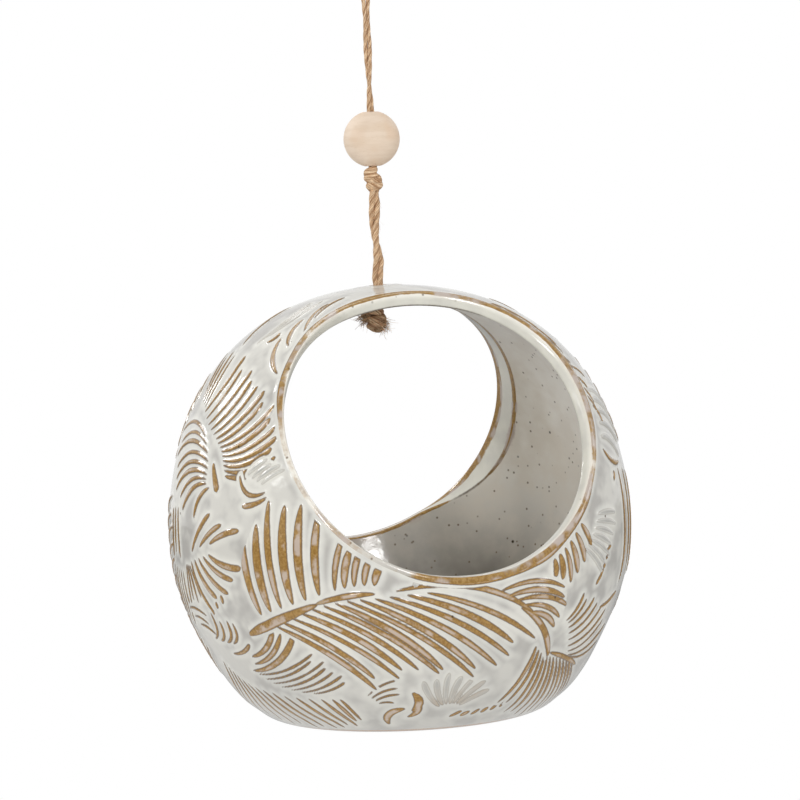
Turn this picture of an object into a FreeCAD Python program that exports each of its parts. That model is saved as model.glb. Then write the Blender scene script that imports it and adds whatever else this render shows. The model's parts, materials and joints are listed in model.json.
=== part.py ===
"""Hanging planter: a glazed ball pot with two round openings, hung by a doubled jute cord with a wooden bead.

The frame has +Z up, +X to the right and -Y to the front. Its origin is the point where a hook bears on the
hanging loop. Lengths are millimetres and angles are degrees.
"""

import FreeCAD, Part
import math
import os

import Sketcher

V = FreeCAD.Vector

# Driving dimensions

DIMENSIONS = {
    # ball: its outline is a chain of tangent arcs, alike above and below its widest circle
    "ball_radius": 82.5,
    "crown_height": 84.8,
    "crown_angle": 18.25,
    "side_angle": 26.3,
    "shoulder_arc": 70.0,
    "base_radius": 51.1,
    "base_round": 32.0,
    "wall": 5.0,
    "floor_thickness": 7.0,
    "floor_round": 9.0,
    # openings: a cone whose point lies on the ball's axis, open to the front and to the back
    "cone_point_drop": 22.0,
    "strap_width": 48.0,
    "sill_drop": 12.0,
    "rim_round": 1.4,
    # hole for the cord, a little off the ball's axis
    "cord_offset": 4.3,
    "cord_hole_clearance": 1.3,
    "cord_hole_round": 0.8,
    # doubled cord
    "strand_diameter": 1.5,
    "strand_spacing": 1.6,
    "hook_diameter": 5.0,
    "throat_drop": 16.0,
    "loop_drop": 58.9,
    "lower_cord_length": 32.8,
    "swing_gap": 0.6,
    # bead
    "bead_diameter": 20.0,
    "bead_end_cut": 0.4,
    "bead_clearance": 0.75,
    "bead_edge": 0.3,
    "bead_seat": 0.25,
    # knots: a core as thick as the doubled cord, with two slanting wraps bedded into it
    "bead_knot_height": 9.1,
    "bead_knot_bite": 1.05,
    "bead_knot_tilt": 24.0,
    "stopper_height": 9.2,
    "stopper_wrap": 3.8,
    "stopper_bite": 0.55,
    "stopper_tilt": 15.0,
    "stopper_seat": 0.6,
    # frayed cord ends
    "end_length": 8.0,
    "end_root_radius": 0.9,
    "end_tip_radius": 2.0,
    "end_splay": 38.0,
}

# The crown and side arcs are as wide as lets the shoulder arc meet both at their angles without a corner

CROWN_SINE = "sin(crown_angle * 1deg)"
CROWN_COSINE = "cos(crown_angle * 1deg)"
SIDE_SINE = "sin(side_angle * 1deg)"
SIDE_COSINE = "cos(side_angle * 1deg)"
ARC_WIDTH = f"(ball_radius - shoulder_arc * ({SIDE_COSINE} - {CROWN_SINE}))"
ARC_HEIGHT = f"(crown_height - shoulder_arc * ({CROWN_COSINE} - {SIDE_SINE}))"
ARC_SHARE = f"({CROWN_SINE} * {SIDE_SINE} - (1 - {CROWN_COSINE}) * (1 - {SIDE_COSINE}))"
OUTLINE = {
    "crown_arc": f"=({ARC_WIDTH} * {SIDE_SINE} - {ARC_HEIGHT} * (1 - {SIDE_COSINE})) / {ARC_SHARE}",
    "side_arc": f"=({ARC_HEIGHT} * {CROWN_SINE} - {ARC_WIDTH} * (1 - {CROWN_COSINE})) / {ARC_SHARE}",
}

doc = FreeCAD.newDocument("hanging_planter")
sheet = doc.addObject("Spreadsheet::Sheet", "dims")
for row, (alias, value) in enumerate({**DIMENSIONS, **OUTLINE}.items(), start=1):
    sheet.set(f"A{row}", alias)
    sheet.set(f"B{row}", str(value))
    sheet.setAlias(f"B{row}", alias)
doc.recompute()


def size(alias):
    """The number in the sheet's cell of that name."""
    return float(sheet.get(alias))


def worked_out(formula):
    """The number that a formula on the sheet gives."""
    result = sheet.evalExpression(formula.replace("dims.", ""))
    return float(getattr(result, "Value", result))


# Sizes that follow from the driving ones, as formulas on the sheet

CROWN_CENTRE_DROP = "(dims.crown_arc - dims.crown_height)"
SIDE_CENTRE_SETBACK = "(dims.side_arc - dims.ball_radius)"
PAIR = "(dims.strand_spacing + dims.strand_diameter)"
CORD_HOLE_RADIUS = f"({PAIR} / 2 + dims.cord_hole_clearance)"
BEAD_BORE_RADIUS = f"({PAIR} / 2 + dims.bead_clearance)"
BEAD_HEIGHT = "(dims.bead_diameter - 2 * dims.bead_end_cut)"

# The cone of an opening runs from the crown's edge of the strap to the sill
STRAP_EDGE_HEIGHT = f"(sqrt(dims.crown_arc ^ 2 - (dims.strap_width / 2) ^ 2) - {CROWN_CENTRE_DROP})"
SILL_REACH = f"(sqrt(dims.side_arc ^ 2 - dims.sill_drop ^ 2) - {SIDE_CENTRE_SETBACK})"
TOP_RAY = f"atan2({STRAP_EDGE_HEIGHT} + dims.cone_point_drop; dims.strap_width / 2)"
SILL_RAY = f"atan2(dims.cone_point_drop - dims.sill_drop; {SILL_REACH})"
OPENING_TILT = f"(({TOP_RAY} + {SILL_RAY}) / 2)"
OPENING_HALF_ANGLE = f"(({TOP_RAY} - {SILL_RAY}) / 2)"
OPENING_REACH = "(dims.ball_radius * 2)"

# Heights, from the hook downwards
BEAD_TOP = "(-dims.loop_drop)"
BEAD_CENTRE = f"({BEAD_TOP} - {BEAD_HEIGHT} / 2)"
BEAD_KNOT_TOP = f"({BEAD_TOP} - {BEAD_HEIGHT} - dims.bead_seat)"
BEAD_KNOT_BOTTOM = f"({BEAD_KNOT_TOP} - dims.bead_knot_height)"
HOLE_MOUTH = f"({BEAD_KNOT_BOTTOM} - dims.lower_cord_length)"
CROWN_FALL = "(dims.crown_arc - sqrt(dims.crown_arc ^ 2 - dims.cord_offset ^ 2))"
EQUATOR = f"({HOLE_MOUTH} + {CROWN_FALL} - dims.crown_height)"
STOPPER_TOP = f"({HOLE_MOUTH} - dims.wall - dims.stopper_seat)"
STOPPER_BOTTOM = f"({STOPPER_TOP} - dims.stopper_height)"

# Sketch helpers

START, END, CENTRE = range(1, 4)
Y_AXIS, X_AXIS = range(-2, 0)
ORIGIN = (-1, 1)
FULL_TURN = 360.0
NEAR = 1e-3


def origin_plane(body, role):
    """One of the body's own origin planes, such as XZ_Plane."""
    for feature in body.Origin.OriginFeatures:
        if feature.Role == role:
            return feature
    raise ValueError(role)


def new_body(label):
    """An empty body with that label."""
    body = doc.addObject("PartDesign::Body", label)
    body.Label = label
    return body


def new_sketch(body, name, role):
    """An empty sketch on one of the body's origin planes."""
    sketch = body.newObject("Sketcher::SketchObject", name)
    sketch.AttachmentSupport = (origin_plane(body, role), [""])
    sketch.MapMode = "FlatFace"
    return sketch


def bind(sketch, kind, places, formula):
    """Add a dimension that follows a formula on the sheet."""
    constraint = Sketcher.Constraint(kind, *places, worked_out(formula))
    number = sketch.addConstraint(constraint)
    sketch.setExpression(f"Constraints[{number}]", formula)


def join(sketch, kind, places):
    """Add the same constraint at several places."""
    for place in places:
        sketch.addConstraint(Sketcher.Constraint(kind, *place))


def turn_about(body, kind, name, sketch, axis):
    """A full turn of a sketch about one of its axes, as a Revolution or a Groove."""
    feature = body.newObject(f"PartDesign::{kind}", name)
    feature.Profile = sketch
    feature.ReferenceAxis = (sketch, [axis])
    feature.Angle = FULL_TURN
    doc.recompute()
    return feature


def round_edges(body, name, base, test, formula):
    """Fillet the base feature's edges that pass a test."""
    chosen = []
    for number, edge in enumerate(base.Shape.Edges, start=1):
        if not edge.Degenerated and test(edge):
            chosen.append(f"Edge{number}")
    if not chosen:
        raise ValueError(f"{base.Name} has no edge for {name}")
    fillet = body.newObject("PartDesign::Fillet", name)
    fillet.Base = (base, chosen)
    fillet.setExpression("Radius", formula)
    doc.recompute()
    return fillet


def arc_between(centre, radius, first, last):
    """The arc about a centre that runs anticlockwise from one direction to another, both given as points."""
    low = math.atan2(first.y - centre.y, first.x - centre.x)
    high = math.atan2(last.y - centre.y, last.x - centre.x)
    return Part.ArcOfCircle(Part.Circle(centre, V(0, 0, 1), radius), low, high)


# Pot


def crown_heading():
    """Direction from the crown arc's centre to the end of that arc."""
    angle = math.radians(size("crown_angle"))
    return V(math.sin(angle), math.cos(angle), 0)


def side_heading():
    """Direction from the side arc's centre to its upper end."""
    angle = math.radians(size("side_angle"))
    return V(math.cos(angle), math.sin(angle), 0)


def shoulder_centre():
    """Centre of the upper shoulder arc, which is tangent to the crown arc at that arc's end."""
    crown = V(0, -worked_out(CROWN_CENTRE_DROP), 0)
    return crown + crown_heading() * (size("crown_arc") - size("shoulder_arc"))


def outer_base_depth():
    """Depth of the base below the widest circle, where the lower shoulder narrows to the base radius."""
    shoulder = shoulder_centre()
    return shoulder.y + math.sqrt(size("shoulder_arc") ** 2 - (size("base_radius") - shoulder.x) ** 2)


def ball_section(body, name, inset, depth):
    """Half of the ball's section, set in from the outside by a formula and cut flat at a depth."""
    set_in = worked_out(inset)
    crown = V(0, -worked_out(CROWN_CENTRE_DROP), 0)
    side = V(-worked_out(SIDE_CENTRE_SETBACK), 0, 0)
    upper = shoulder_centre()
    lower = V(upper.x, -upper.y, 0)
    crown_radius = size("crown_arc") - set_in
    shoulder_radius = size("shoulder_arc") - set_in
    side_radius = size("side_arc") - set_in
    pole = V(0, size("crown_height") - set_in, 0)
    crown_end = crown + crown_heading() * crown_radius
    side_start = side + side_heading() * side_radius
    side_end = V(side_start.x, -side_start.y, 0)
    foot = V(lower.x + math.sqrt(shoulder_radius**2 - (depth + lower.y) ** 2), -depth, 0)
    foot_centre = V(0, -depth, 0)

    sketch = new_sketch(body, name, "XZ_Plane")
    sketch.addGeometry(
        [
            arc_between(lower, shoulder_radius, foot, side_end),
            arc_between(side, side_radius, side_end, side_start),
            arc_between(upper, shoulder_radius, side_start, crown_end),
            arc_between(crown, crown_radius, crown_end, pole),
            Part.LineSegment(pole, foot_centre),
            Part.LineSegment(foot_centre, foot),
        ]
    )
    lower_arc, side_arc, upper_arc, crown_arc, axis_line, base_line = range(6)
    join(
        sketch,
        "Tangent",
        [
            (lower_arc, END, side_arc, START),
            (side_arc, END, upper_arc, START),
            (upper_arc, END, crown_arc, START),
        ],
    )
    join(
        sketch,
        "Coincident",
        [
            (crown_arc, END, axis_line, START),
            (axis_line, END, base_line, START),
            (base_line, END, lower_arc, START),
        ],
    )
    join(sketch, "PointOnObject", [(crown_arc, CENTRE, Y_AXIS), (side_arc, CENTRE, X_AXIS)])
    join(sketch, "PointOnObject", [(axis_line, START, Y_AXIS), (axis_line, END, Y_AXIS)])
    join(sketch, "Horizontal", [(base_line,)])
    join(sketch, "Equal", [(lower_arc, upper_arc)])
    side_reach = f"(dims.side_arc - {inset}) * cos(dims.side_angle * 1deg) - {SIDE_CENTRE_SETBACK}"
    bind(sketch, "Radius", (crown_arc,), f"dims.crown_arc - {inset}")
    bind(sketch, "Radius", (upper_arc,), f"dims.shoulder_arc - {inset}")
    bind(sketch, "Radius", (side_arc,), f"dims.side_arc - {inset}")
    bind(sketch, "DistanceY", (*ORIGIN, axis_line, START), f"dims.crown_height - {inset}")
    bind(sketch, "DistanceX", (*ORIGIN, side_arc, END), side_reach)
    return sketch, axis_line, base_line


def outside_section(pot):
    """The ball's outer section, cut flat where it narrows to the base radius. Its depth is measured."""
    sketch, axis_line, base_line = ball_section(pot, "ball_section", "0", outer_base_depth())
    bind(sketch, "DistanceX", (*ORIGIN, base_line, END), "dims.base_radius")
    constraint = Sketcher.Constraint("DistanceY", axis_line, END, *ORIGIN, outer_base_depth())
    number = sketch.addConstraint(constraint)
    sketch.setDriving(number, False)
    sketch.renameConstraint(number, "base_depth")
    return sketch


def inside_section(pot, outside):
    """The cavity's section, a wall inside the outer one and a floor's thickness above the base."""
    depth = outer_base_depth() - size("floor_thickness")
    sketch, axis_line, _ = ball_section(pot, "cavity_section", "dims.wall", depth)
    number = sketch.addConstraint(Sketcher.Constraint("DistanceY", axis_line, END, *ORIGIN, depth))
    formula = f"{outside.Name}.Constraints.base_depth - dims.floor_thickness * 1mm"
    sketch.setExpression(f"Constraints[{number}]", formula)
    return sketch


def opening_section(pot):
    """Half of an opening's cone, from its point on the ball's axis out past the front of the ball."""
    tilt = math.radians(worked_out(OPENING_TILT))
    half = math.radians(worked_out(OPENING_HALF_ANGLE))
    reach = worked_out(OPENING_REACH)
    point = V(0, -size("cone_point_drop"), 0)
    end = point + V(-math.cos(tilt), math.sin(tilt), 0) * reach
    corner = end + V(math.sin(tilt), math.cos(tilt), 0) * reach * math.tan(half)

    sketch = new_sketch(pot, "opening_section", "YZ_Plane")
    sketch.addGeometry(
        [
            Part.LineSegment(point, end),
            Part.LineSegment(end, corner),
            Part.LineSegment(corner, point),
        ]
    )
    turning_axis = sketch.addGeometry(Part.LineSegment(point, end), True)
    axis_line, cap_line, slant_line = range(3)
    join(
        sketch,
        "Coincident",
        [
            (axis_line, END, cap_line, START),
            (cap_line, END, slant_line, START),
            (slant_line, END, axis_line, START),
            (turning_axis, START, axis_line, START),
            (turning_axis, END, axis_line, END),
        ],
    )
    join(sketch, "PointOnObject", [(axis_line, START, Y_AXIS)])
    join(sketch, "Perpendicular", [(axis_line, cap_line)])
    bind(sketch, "DistanceY", (axis_line, START, *ORIGIN), "dims.cone_point_drop")
    bind(sketch, "Distance", (axis_line,), OPENING_REACH)
    bind(sketch, "DistanceY", (axis_line, START, axis_line, END), f"{OPENING_REACH} * sin({OPENING_TILT})")
    bind(sketch, "Distance", (cap_line,), f"{OPENING_REACH} * tan({OPENING_HALF_ANGLE})")
    return sketch


def circle_at(level):
    """A test for a flat circular edge at that height."""

    def test(edge):
        return isinstance(edge.Curve, Part.Circle) and abs(edge.Curve.Center.z - level) < NEAR

    return test


def on_cord_hole(edge):
    """Whether an edge is one of the two mouths of the cord hole."""
    points = edge.discretize(5)
    rise = max(point.z for point in points) - min(point.z for point in points)
    from_axis = [math.hypot(point.x + size("cord_offset"), point.y) for point in points]
    on_wall = all(abs(distance - worked_out(CORD_HOLE_RADIUS)) < NEAR for distance in from_axis)
    return on_wall and rise < size("wall") / 2


def cord_hole(pot):
    """The hole through the strap, from inside the pot upwards."""
    outline = new_sketch(pot, "cord_hole_outline", "XY_Plane")
    centre = V(-size("cord_offset"), 0, 0)
    outline.addGeometry(Part.Circle(centre, V(0, 0, 1), worked_out(CORD_HOLE_RADIUS)))
    join(outline, "PointOnObject", [(0, CENTRE, X_AXIS)])
    bind(outline, "DistanceX", (0, CENTRE, *ORIGIN), "dims.cord_offset")
    bind(outline, "Radius", (0,), CORD_HOLE_RADIUS)
    hole = pot.newObject("PartDesign::Pocket", "cord_hole")
    hole.Profile = outline
    hole.Reversed = True
    hole.setExpression("Length", "dims.crown_height * 2")
    doc.recompute()
    return hole


def make_pot():
    """The fired pot: ball, cavity, two openings, cord hole and rounded edges."""
    pot = new_body("pot")
    outside = outside_section(pot)
    ball = turn_about(pot, "Revolution", "ball", outside, "V_Axis")
    round_edges(pot, "foot_edge", ball, circle_at(-outer_base_depth()), "dims.base_round")
    inside = inside_section(pot, outside)
    cavity = turn_about(pot, "Groove", "cavity", inside, "V_Axis")
    floor_level = size("floor_thickness") - outer_base_depth()
    round_edges(pot, "floor_corner", cavity, circle_at(floor_level), "dims.floor_round")

    front = turn_about(pot, "Groove", "front_opening", opening_section(pot), "Axis0")
    back = pot.newObject("PartDesign::Mirrored", "back_opening")
    back.Originals = [front]
    back.MirrorPlane = (origin_plane(pot, "XZ_Plane"), [""])
    pot.Tip = back
    doc.recompute()
    hole = cord_hole(pot)
    mouth = round_edges(pot, "cord_hole_edges", hole, on_cord_hole, "dims.cord_hole_round")

    cones = [face for face in mouth.Shape.Faces if isinstance(face.Surface, Part.Cone)]
    rims = [edge for face in cones for edge in face.Edges if not edge.isSeam(face)]
    round_edges(pot, "rim_edges", mouth, lambda edge: any(map(edge.isSame, rims)), "dims.rim_round")
    pot.setExpression("Placement.Base.x", "dims.cord_offset")
    pot.setExpression("Placement.Base.z", EQUATOR)
    stages = (ball, cavity, front, back, hole, pot)
    print("pot volume by stage", [round(stage.Shape.Volume) for stage in stages])
    return pot


# Bead


def make_bead():
    """Turned bead: a ball with flattened ends and a bore."""
    bead = new_body("bead")
    radius = size("bead_diameter") / 2
    half = worked_out(BEAD_HEIGHT) / 2
    bore = worked_out(BEAD_BORE_RADIUS)
    flat = math.sqrt(radius**2 - half**2)
    low_bore, low_rim, high_rim, high_bore = V(bore, -half), V(flat, -half), V(flat, half), V(bore, half)
    sketch = new_sketch(bead, "bead_section", "XZ_Plane")
    sketch.addGeometry(
        [
            Part.LineSegment(low_bore, low_rim),
            arc_between(V(), radius, low_rim, high_rim),
            Part.LineSegment(high_rim, high_bore),
            Part.LineSegment(high_bore, low_bore),
        ]
    )
    low_line, round_arc, high_line, bore_line = range(4)
    join(
        sketch,
        "Coincident",
        [
            (low_line, END, round_arc, START),
            (round_arc, END, high_line, START),
            (high_line, END, bore_line, START),
            (bore_line, END, low_line, START),
            (round_arc, CENTRE, *ORIGIN),
        ],
    )
    join(sketch, "Horizontal", [(low_line,), (high_line,)])
    join(sketch, "Vertical", [(bore_line,)])
    bind(sketch, "Radius", (round_arc,), "dims.bead_diameter / 2")
    bind(sketch, "DistanceX", (*ORIGIN, bore_line, START), BEAD_BORE_RADIUS)
    bind(sketch, "DistanceY", (*ORIGIN, bore_line, START), f"{BEAD_HEIGHT} / 2")
    bind(sketch, "DistanceY", (bore_line, END, *ORIGIN), f"{BEAD_HEIGHT} / 2")
    ball = turn_about(bead, "Revolution", "turned_ball", sketch, "V_Axis")

    def on_bore(edge):
        return isinstance(edge.Curve, Part.Circle) and abs(edge.Curve.Radius - bore) < NEAR

    round_edges(bead, "bore_edges", ball, on_bore, "dims.bead_edge")
    bead.setExpression("Placement.Base.z", BEAD_CENTRE)
    return bead


# Knots and cord ends


def make_knot(label, tall, wrap, bite, tilt, top, core_top):
    """A knot between top and top less tall: a core that reaches up to core_top, and two slanting wraps."""
    core = doc.addObject("Part::Cylinder", f"{label}_core")
    core.setExpression("Radius", f"{PAIR} / 2")
    core.setExpression("Height", f"{core_top} - {top} + {tall}")
    core.setExpression("Placement.Base.z", f"{top} - {tall}")
    pieces = [core]
    ring_radius = f"({PAIR} / 2 + {wrap} / 2 - {bite})"
    half_rise = f"({ring_radius} * sin({tilt} * 1deg) + {wrap} / 2)"
    levels = {"upper": f"{top} - {half_rise}", "lower": f"{top} - {tall} + {half_rise}"}
    for place, level in levels.items():
        ring = doc.addObject("Part::Torus", f"{label}_{place}_wrap")
        ring.setExpression("Radius1", ring_radius)
        ring.setExpression("Radius2", f"{wrap} / 2")
        ring.Placement.Rotation = FreeCAD.Rotation(V(0, 1, 0), size("bead_knot_tilt"))
        ring.setExpression("Placement.Rotation.Angle", f"{tilt} * 1deg")
        ring.setExpression("Placement.Base.z", level)
        pieces.append(ring)
    knot = doc.addObject("Part::MultiFuse", label)
    knot.Shapes = pieces
    knot.Label = label
    return knot


def make_cut_end(label, knot, heading):
    """A frayed end of the cord: a cone that leaves the knot's underside at a slant and opens out."""
    tuft = doc.addObject("Part::Cone", f"{label}_tuft")
    tuft.setExpression("Radius1", "dims.end_root_radius")
    tuft.setExpression("Radius2", "dims.end_tip_radius")
    tuft.setExpression("Height", "dims.end_length")
    tuft.Placement.Rotation = FreeCAD.Rotation(V(-heading.y, heading.x, 0), FULL_TURN / 4)
    tuft.setExpression("Placement.Rotation.Angle", "180deg - dims.end_splay * 1deg")
    bedded = "dims.stopper_wrap / 2"
    tuft.setExpression("Placement.Base.x", f"{heading.x} * {bedded}")
    tuft.setExpression("Placement.Base.y", f"{heading.y} * {bedded}")
    tuft.setExpression("Placement.Base.z", f"{STOPPER_BOTTOM} + {bedded}")
    end = doc.addObject("Part::Cut", label)
    end.Base = tuft
    end.Tool = knot
    end.Label = label
    return end


# Cord


def make_hanging_loop():
    """One strand from the bead knot up through the bead, round the hook and down again.

    Each leg is a straight run, a wide bend at the throat, a run that touches the hook's bight, and the bight.
    """
    radius = size("strand_diameter") / 2
    half = size("strand_spacing") / 2
    bight = size("hook_diameter") / 2 + radius
    centre = V(0, 0, -size("hook_diameter") / 2)
    low = V(-half, 0, worked_out(BEAD_KNOT_TOP))
    throat = V(-half, 0, -size("throat_drop"))
    lean = math.asin(bight / (centre - throat).Length) - math.atan2(half, centre.z - throat.z)
    touch = centre - V(math.cos(lean), 0, math.sin(lean)) * bight
    bend_length = 0.45 * (touch - throat).Length
    bend = bend_length / math.tan(lean / 2)
    bend_start = throat - V(0, 0, bend_length)
    bend_end = throat + (touch - throat).normalize() * bend_length
    bend_middle = bend_start + V(math.cos(lean / 2) - 1, 0, math.sin(lean / 2)) * bend

    def mirrored(point):
        return V(-point.x, point.y, point.z)

    path = Part.Wire(
        [
            Part.LineSegment(low, bend_start).toShape(),
            Part.Arc(bend_start, bend_middle, bend_end).toShape(),
            Part.LineSegment(bend_end, touch).toShape(),
            Part.Arc(touch, centre + V(0, 0, bight), mirrored(touch)).toShape(),
            Part.LineSegment(mirrored(touch), mirrored(bend_end)).toShape(),
            Part.Arc(mirrored(bend_end), mirrored(bend_middle), mirrored(bend_start)).toShape(),
            Part.LineSegment(mirrored(bend_start), mirrored(low)).toShape(),
        ]
    )
    section = Part.Wire([Part.Circle(low, V(0, 0, 1), radius).toShape()])
    loop = doc.addObject("Part::Feature", "hanging_loop")
    loop.Shape = path.makePipeShell([section], True, False)
    loop.Label = "hanging_loop"
    print("loop radii", round(bend, 1), round(bight, 2), "length", round(path.Length, 1))
    print("loop volume", round(loop.Shape.Volume, 2), "expected", round(path.Length * math.pi * radius**2, 2))
    return loop


def make_lower_cord():
    """The doubled cord from the bead knot down to the mouth of the hole, where it can bend."""
    cord = doc.addObject("Part::Cylinder", "lower_cord")
    cord.setExpression("Radius", f"{PAIR} / 2")
    cord.setExpression("Height", "dims.lower_cord_length - dims.swing_gap")
    cord.setExpression("Placement.Base.z", f"{HOLE_MOUTH} + dims.swing_gap")
    cord.Label = "lower_cord"
    return cord


# Assembly

bead_knot = make_knot(
    "bead_knot",
    "dims.bead_knot_height",
    PAIR,
    "dims.bead_knot_bite",
    "dims.bead_knot_tilt",
    BEAD_KNOT_TOP,
    BEAD_KNOT_TOP,
)
stopper_knot = make_knot(
    "stopper_knot",
    "dims.stopper_height",
    "dims.stopper_wrap",
    "dims.stopper_bite",
    "dims.stopper_tilt",
    STOPPER_TOP,
    HOLE_MOUTH,
)
nodes = [
    make_pot(),
    make_bead(),
    make_hanging_loop(),
    bead_knot,
    make_lower_cord(),
    stopper_knot,
    make_cut_end("cut_end_left", stopper_knot, V(-0.8, 0.6, 0)),
    make_cut_end("cut_end_right", stopper_knot, V(0.8, -0.6, 0)),
]
doc.recompute()

# Checks and export

for item in doc.Objects:
    if "Invalid" in item.State or "Error" in item.State:
        raise RuntimeError(f"{item.Name} failed: {item.State}")
for node in nodes:
    shape = node.Shape
    if shape.isNull() or not shape.isValid() or len(shape.Solids) != 1:
        raise RuntimeError(f"{node.Label} isn't one valid solid")
os.makedirs("parts", exist_ok=True)
for node in nodes:
    node.Shape.exportStep(f"parts/{node.Label}.step")
    box = node.Shape.BoundBox
    print(node.Label, "volume", round(node.Shape.Volume, 1), "z", round(box.ZMin, 2), round(box.ZMax, 2))
for name, formula in (("hole mouth", HOLE_MOUTH), ("equator", EQUATOR), ("opening tilt", OPENING_TILT)):
    print(name, round(worked_out(formula), 3))
print("base depth", round(outer_base_depth(), 3), "half angle", round(worked_out(OPENING_HALF_ANGLE), 2))
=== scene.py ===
"""Looks of the hanging planter: a glazed pot with raised leaves, a wooden bead and a knotted jute cord.

Lengths are millimetres until a mesh is made. The frame is the part's own: +Z up, +X to the right and -Y to
the front.
"""

import json
import math

import bpy
import numpy as np
from mathutils import Matrix, Vector


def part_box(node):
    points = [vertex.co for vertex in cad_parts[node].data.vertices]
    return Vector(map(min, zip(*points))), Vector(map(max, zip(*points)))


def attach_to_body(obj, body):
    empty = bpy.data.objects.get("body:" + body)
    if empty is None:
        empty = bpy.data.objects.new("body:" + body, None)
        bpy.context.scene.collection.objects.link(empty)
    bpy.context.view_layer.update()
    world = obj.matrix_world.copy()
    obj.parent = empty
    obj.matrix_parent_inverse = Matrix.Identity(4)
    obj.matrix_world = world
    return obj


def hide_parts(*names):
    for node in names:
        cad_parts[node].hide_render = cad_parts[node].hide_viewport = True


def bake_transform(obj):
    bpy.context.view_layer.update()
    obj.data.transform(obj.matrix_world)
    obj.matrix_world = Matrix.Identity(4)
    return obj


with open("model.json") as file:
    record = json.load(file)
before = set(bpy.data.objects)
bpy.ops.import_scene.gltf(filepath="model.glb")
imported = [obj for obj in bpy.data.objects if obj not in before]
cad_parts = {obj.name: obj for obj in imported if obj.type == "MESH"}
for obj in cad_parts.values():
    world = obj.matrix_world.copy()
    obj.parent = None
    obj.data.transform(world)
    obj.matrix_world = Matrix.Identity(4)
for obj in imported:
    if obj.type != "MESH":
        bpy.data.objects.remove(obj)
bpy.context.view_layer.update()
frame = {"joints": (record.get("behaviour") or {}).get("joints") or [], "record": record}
record = frame["record"]
MM = 0.001
rng = np.random.default_rng(7)

# Places from the frame

base_mount = next(mount for mount in record["mounts"] if mount["name"] == "base")
swing_joint = next(joint for joint in frame["joints"] if joint["name"] == "pot_swing")
POT_X = base_mount["pos_m"][0] / MM
BASE_Z = base_mount["pos_m"][2] / MM
HOLE_Z = swing_joint["pos_m"][2] / MM
bead_low, bead_high = (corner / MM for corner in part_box("bead"))
knot_low, knot_high = (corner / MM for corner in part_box("bead_knot"))
stopper_low, stopper_high = (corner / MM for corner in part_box("stopper_knot"))

# Sizes of the cord

STRAND = 1.5
SPACING = 1.6
PAIR = STRAND + SPACING

# Sizes of the pot: its outline is a chain of tangent arcs, alike above and below its widest circle

BALL_RADIUS, CROWN_HEIGHT = 82.5, 84.8
CROWN_ARC, CROWN_ANGLE = 100.0, 18.25
SHOULDER_ARC = 70.0
SIDE_ARC, SIDE_ANGLE = 100.0, 26.3
BASE_RADIUS, BASE_ROUND = 51.1, 32.0
WALL, FLOOR, FLOOR_ROUND = 5.0, 7.0, 9.0
LOWER_NARROWING, NARROW_FROM, NARROW_TO, FOOT_HEIGHT = 2.2, -15.0, -50.0, 6.0
CROWN_DROP = CROWN_ARC - CROWN_HEIGHT
SIDE_SETBACK = SIDE_ARC - BALL_RADIUS
SHOULDER_X = (CROWN_ARC - SHOULDER_ARC) * math.sin(math.radians(CROWN_ANGLE))
SHOULDER_Z = (SIDE_ARC - SHOULDER_ARC) * math.sin(math.radians(SIDE_ANGLE))
BASE_DEPTH = SHOULDER_Z + math.sqrt(SHOULDER_ARC**2 - (BASE_RADIUS - SHOULDER_X) ** 2)
EQUATOR_Z = BASE_Z + BASE_DEPTH
POT_CENTRE = np.array([POT_X, 0.0, EQUATOR_Z])

# Openings: a cone whose point lies on the ball's axis, from the strap's edge to the sill

STRAP_WIDTH, SILL_DROP, CONE_DROP = 48.0, 12.0, 22.0
STRAP_EDGE_Z = math.sqrt(CROWN_ARC**2 - (STRAP_WIDTH / 2) ** 2) - CROWN_DROP
SILL_REACH = math.sqrt(SIDE_ARC**2 - SILL_DROP**2) - SIDE_SETBACK
TOP_RAY = math.atan2(STRAP_EDGE_Z + CONE_DROP, STRAP_WIDTH / 2)
SILL_RAY = math.atan2(CONE_DROP - SILL_DROP, SILL_REACH)
CONE_TILT = (TOP_RAY + SILL_RAY) / 2
CONE_HALF = (TOP_RAY - SILL_RAY) / 2
MIDDLE = np.array([0.0, 0.0, 35.0])

# Cord hole

HOLE_CLEARANCE, HOLE_LIP = 1.3, 0.8
HOLE_RADIUS = PAIR / 2 + HOLE_CLEARANCE
HOLE_AT = np.array([-POT_X, 0.0])

# Lines and meshes


def smooth(values, low, high):
    """S-curve from 0 at low to 1 at high: 3 t^2 - 2 t^3."""
    share = np.clip((np.asarray(values, float) - low) / (high - low), 0, 1)
    return share * share * (3 - 2 * share)


def unit_vectors(vectors):
    """The vectors made one long."""
    return vectors / np.linalg.norm(vectors, axis=-1, keepdims=True)


def way_along(line):
    """Distance along a line to each of its points."""
    return np.concatenate([[0], np.cumsum(np.linalg.norm(np.diff(line, axis=0), axis=-1))])


def link_mesh(name, points, faces, values, material, normals=None):
    """A smooth mesh in metres with float attributes on its points, and its own normals where given."""
    mesh = bpy.data.meshes.new(name)
    mesh.from_pydata((points.reshape(-1, 3) * MM).tolist(), [], faces)
    for label, numbers in values.items():
        attribute = mesh.attributes.new(label, "FLOAT", "POINT")
        attribute.data.foreach_set("value", np.asarray(numbers, np.float32).ravel())
    mesh.polygons.foreach_set("use_smooth", np.ones(len(mesh.polygons), bool))
    mesh.update()
    if normals is not None:
        mesh.normals_split_custom_set_from_vertices(normals.reshape(-1, 3).tolist())
    mesh.materials.append(material)
    made = bpy.data.objects.new(name, mesh)
    bpy.context.scene.collection.objects.link(made)
    return made


def attach(piece, body, node=None):
    """Say which body a piece rides on and, where it stands for a solid, which one."""
    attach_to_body(piece, body)
    if node:
        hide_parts(node)


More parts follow.
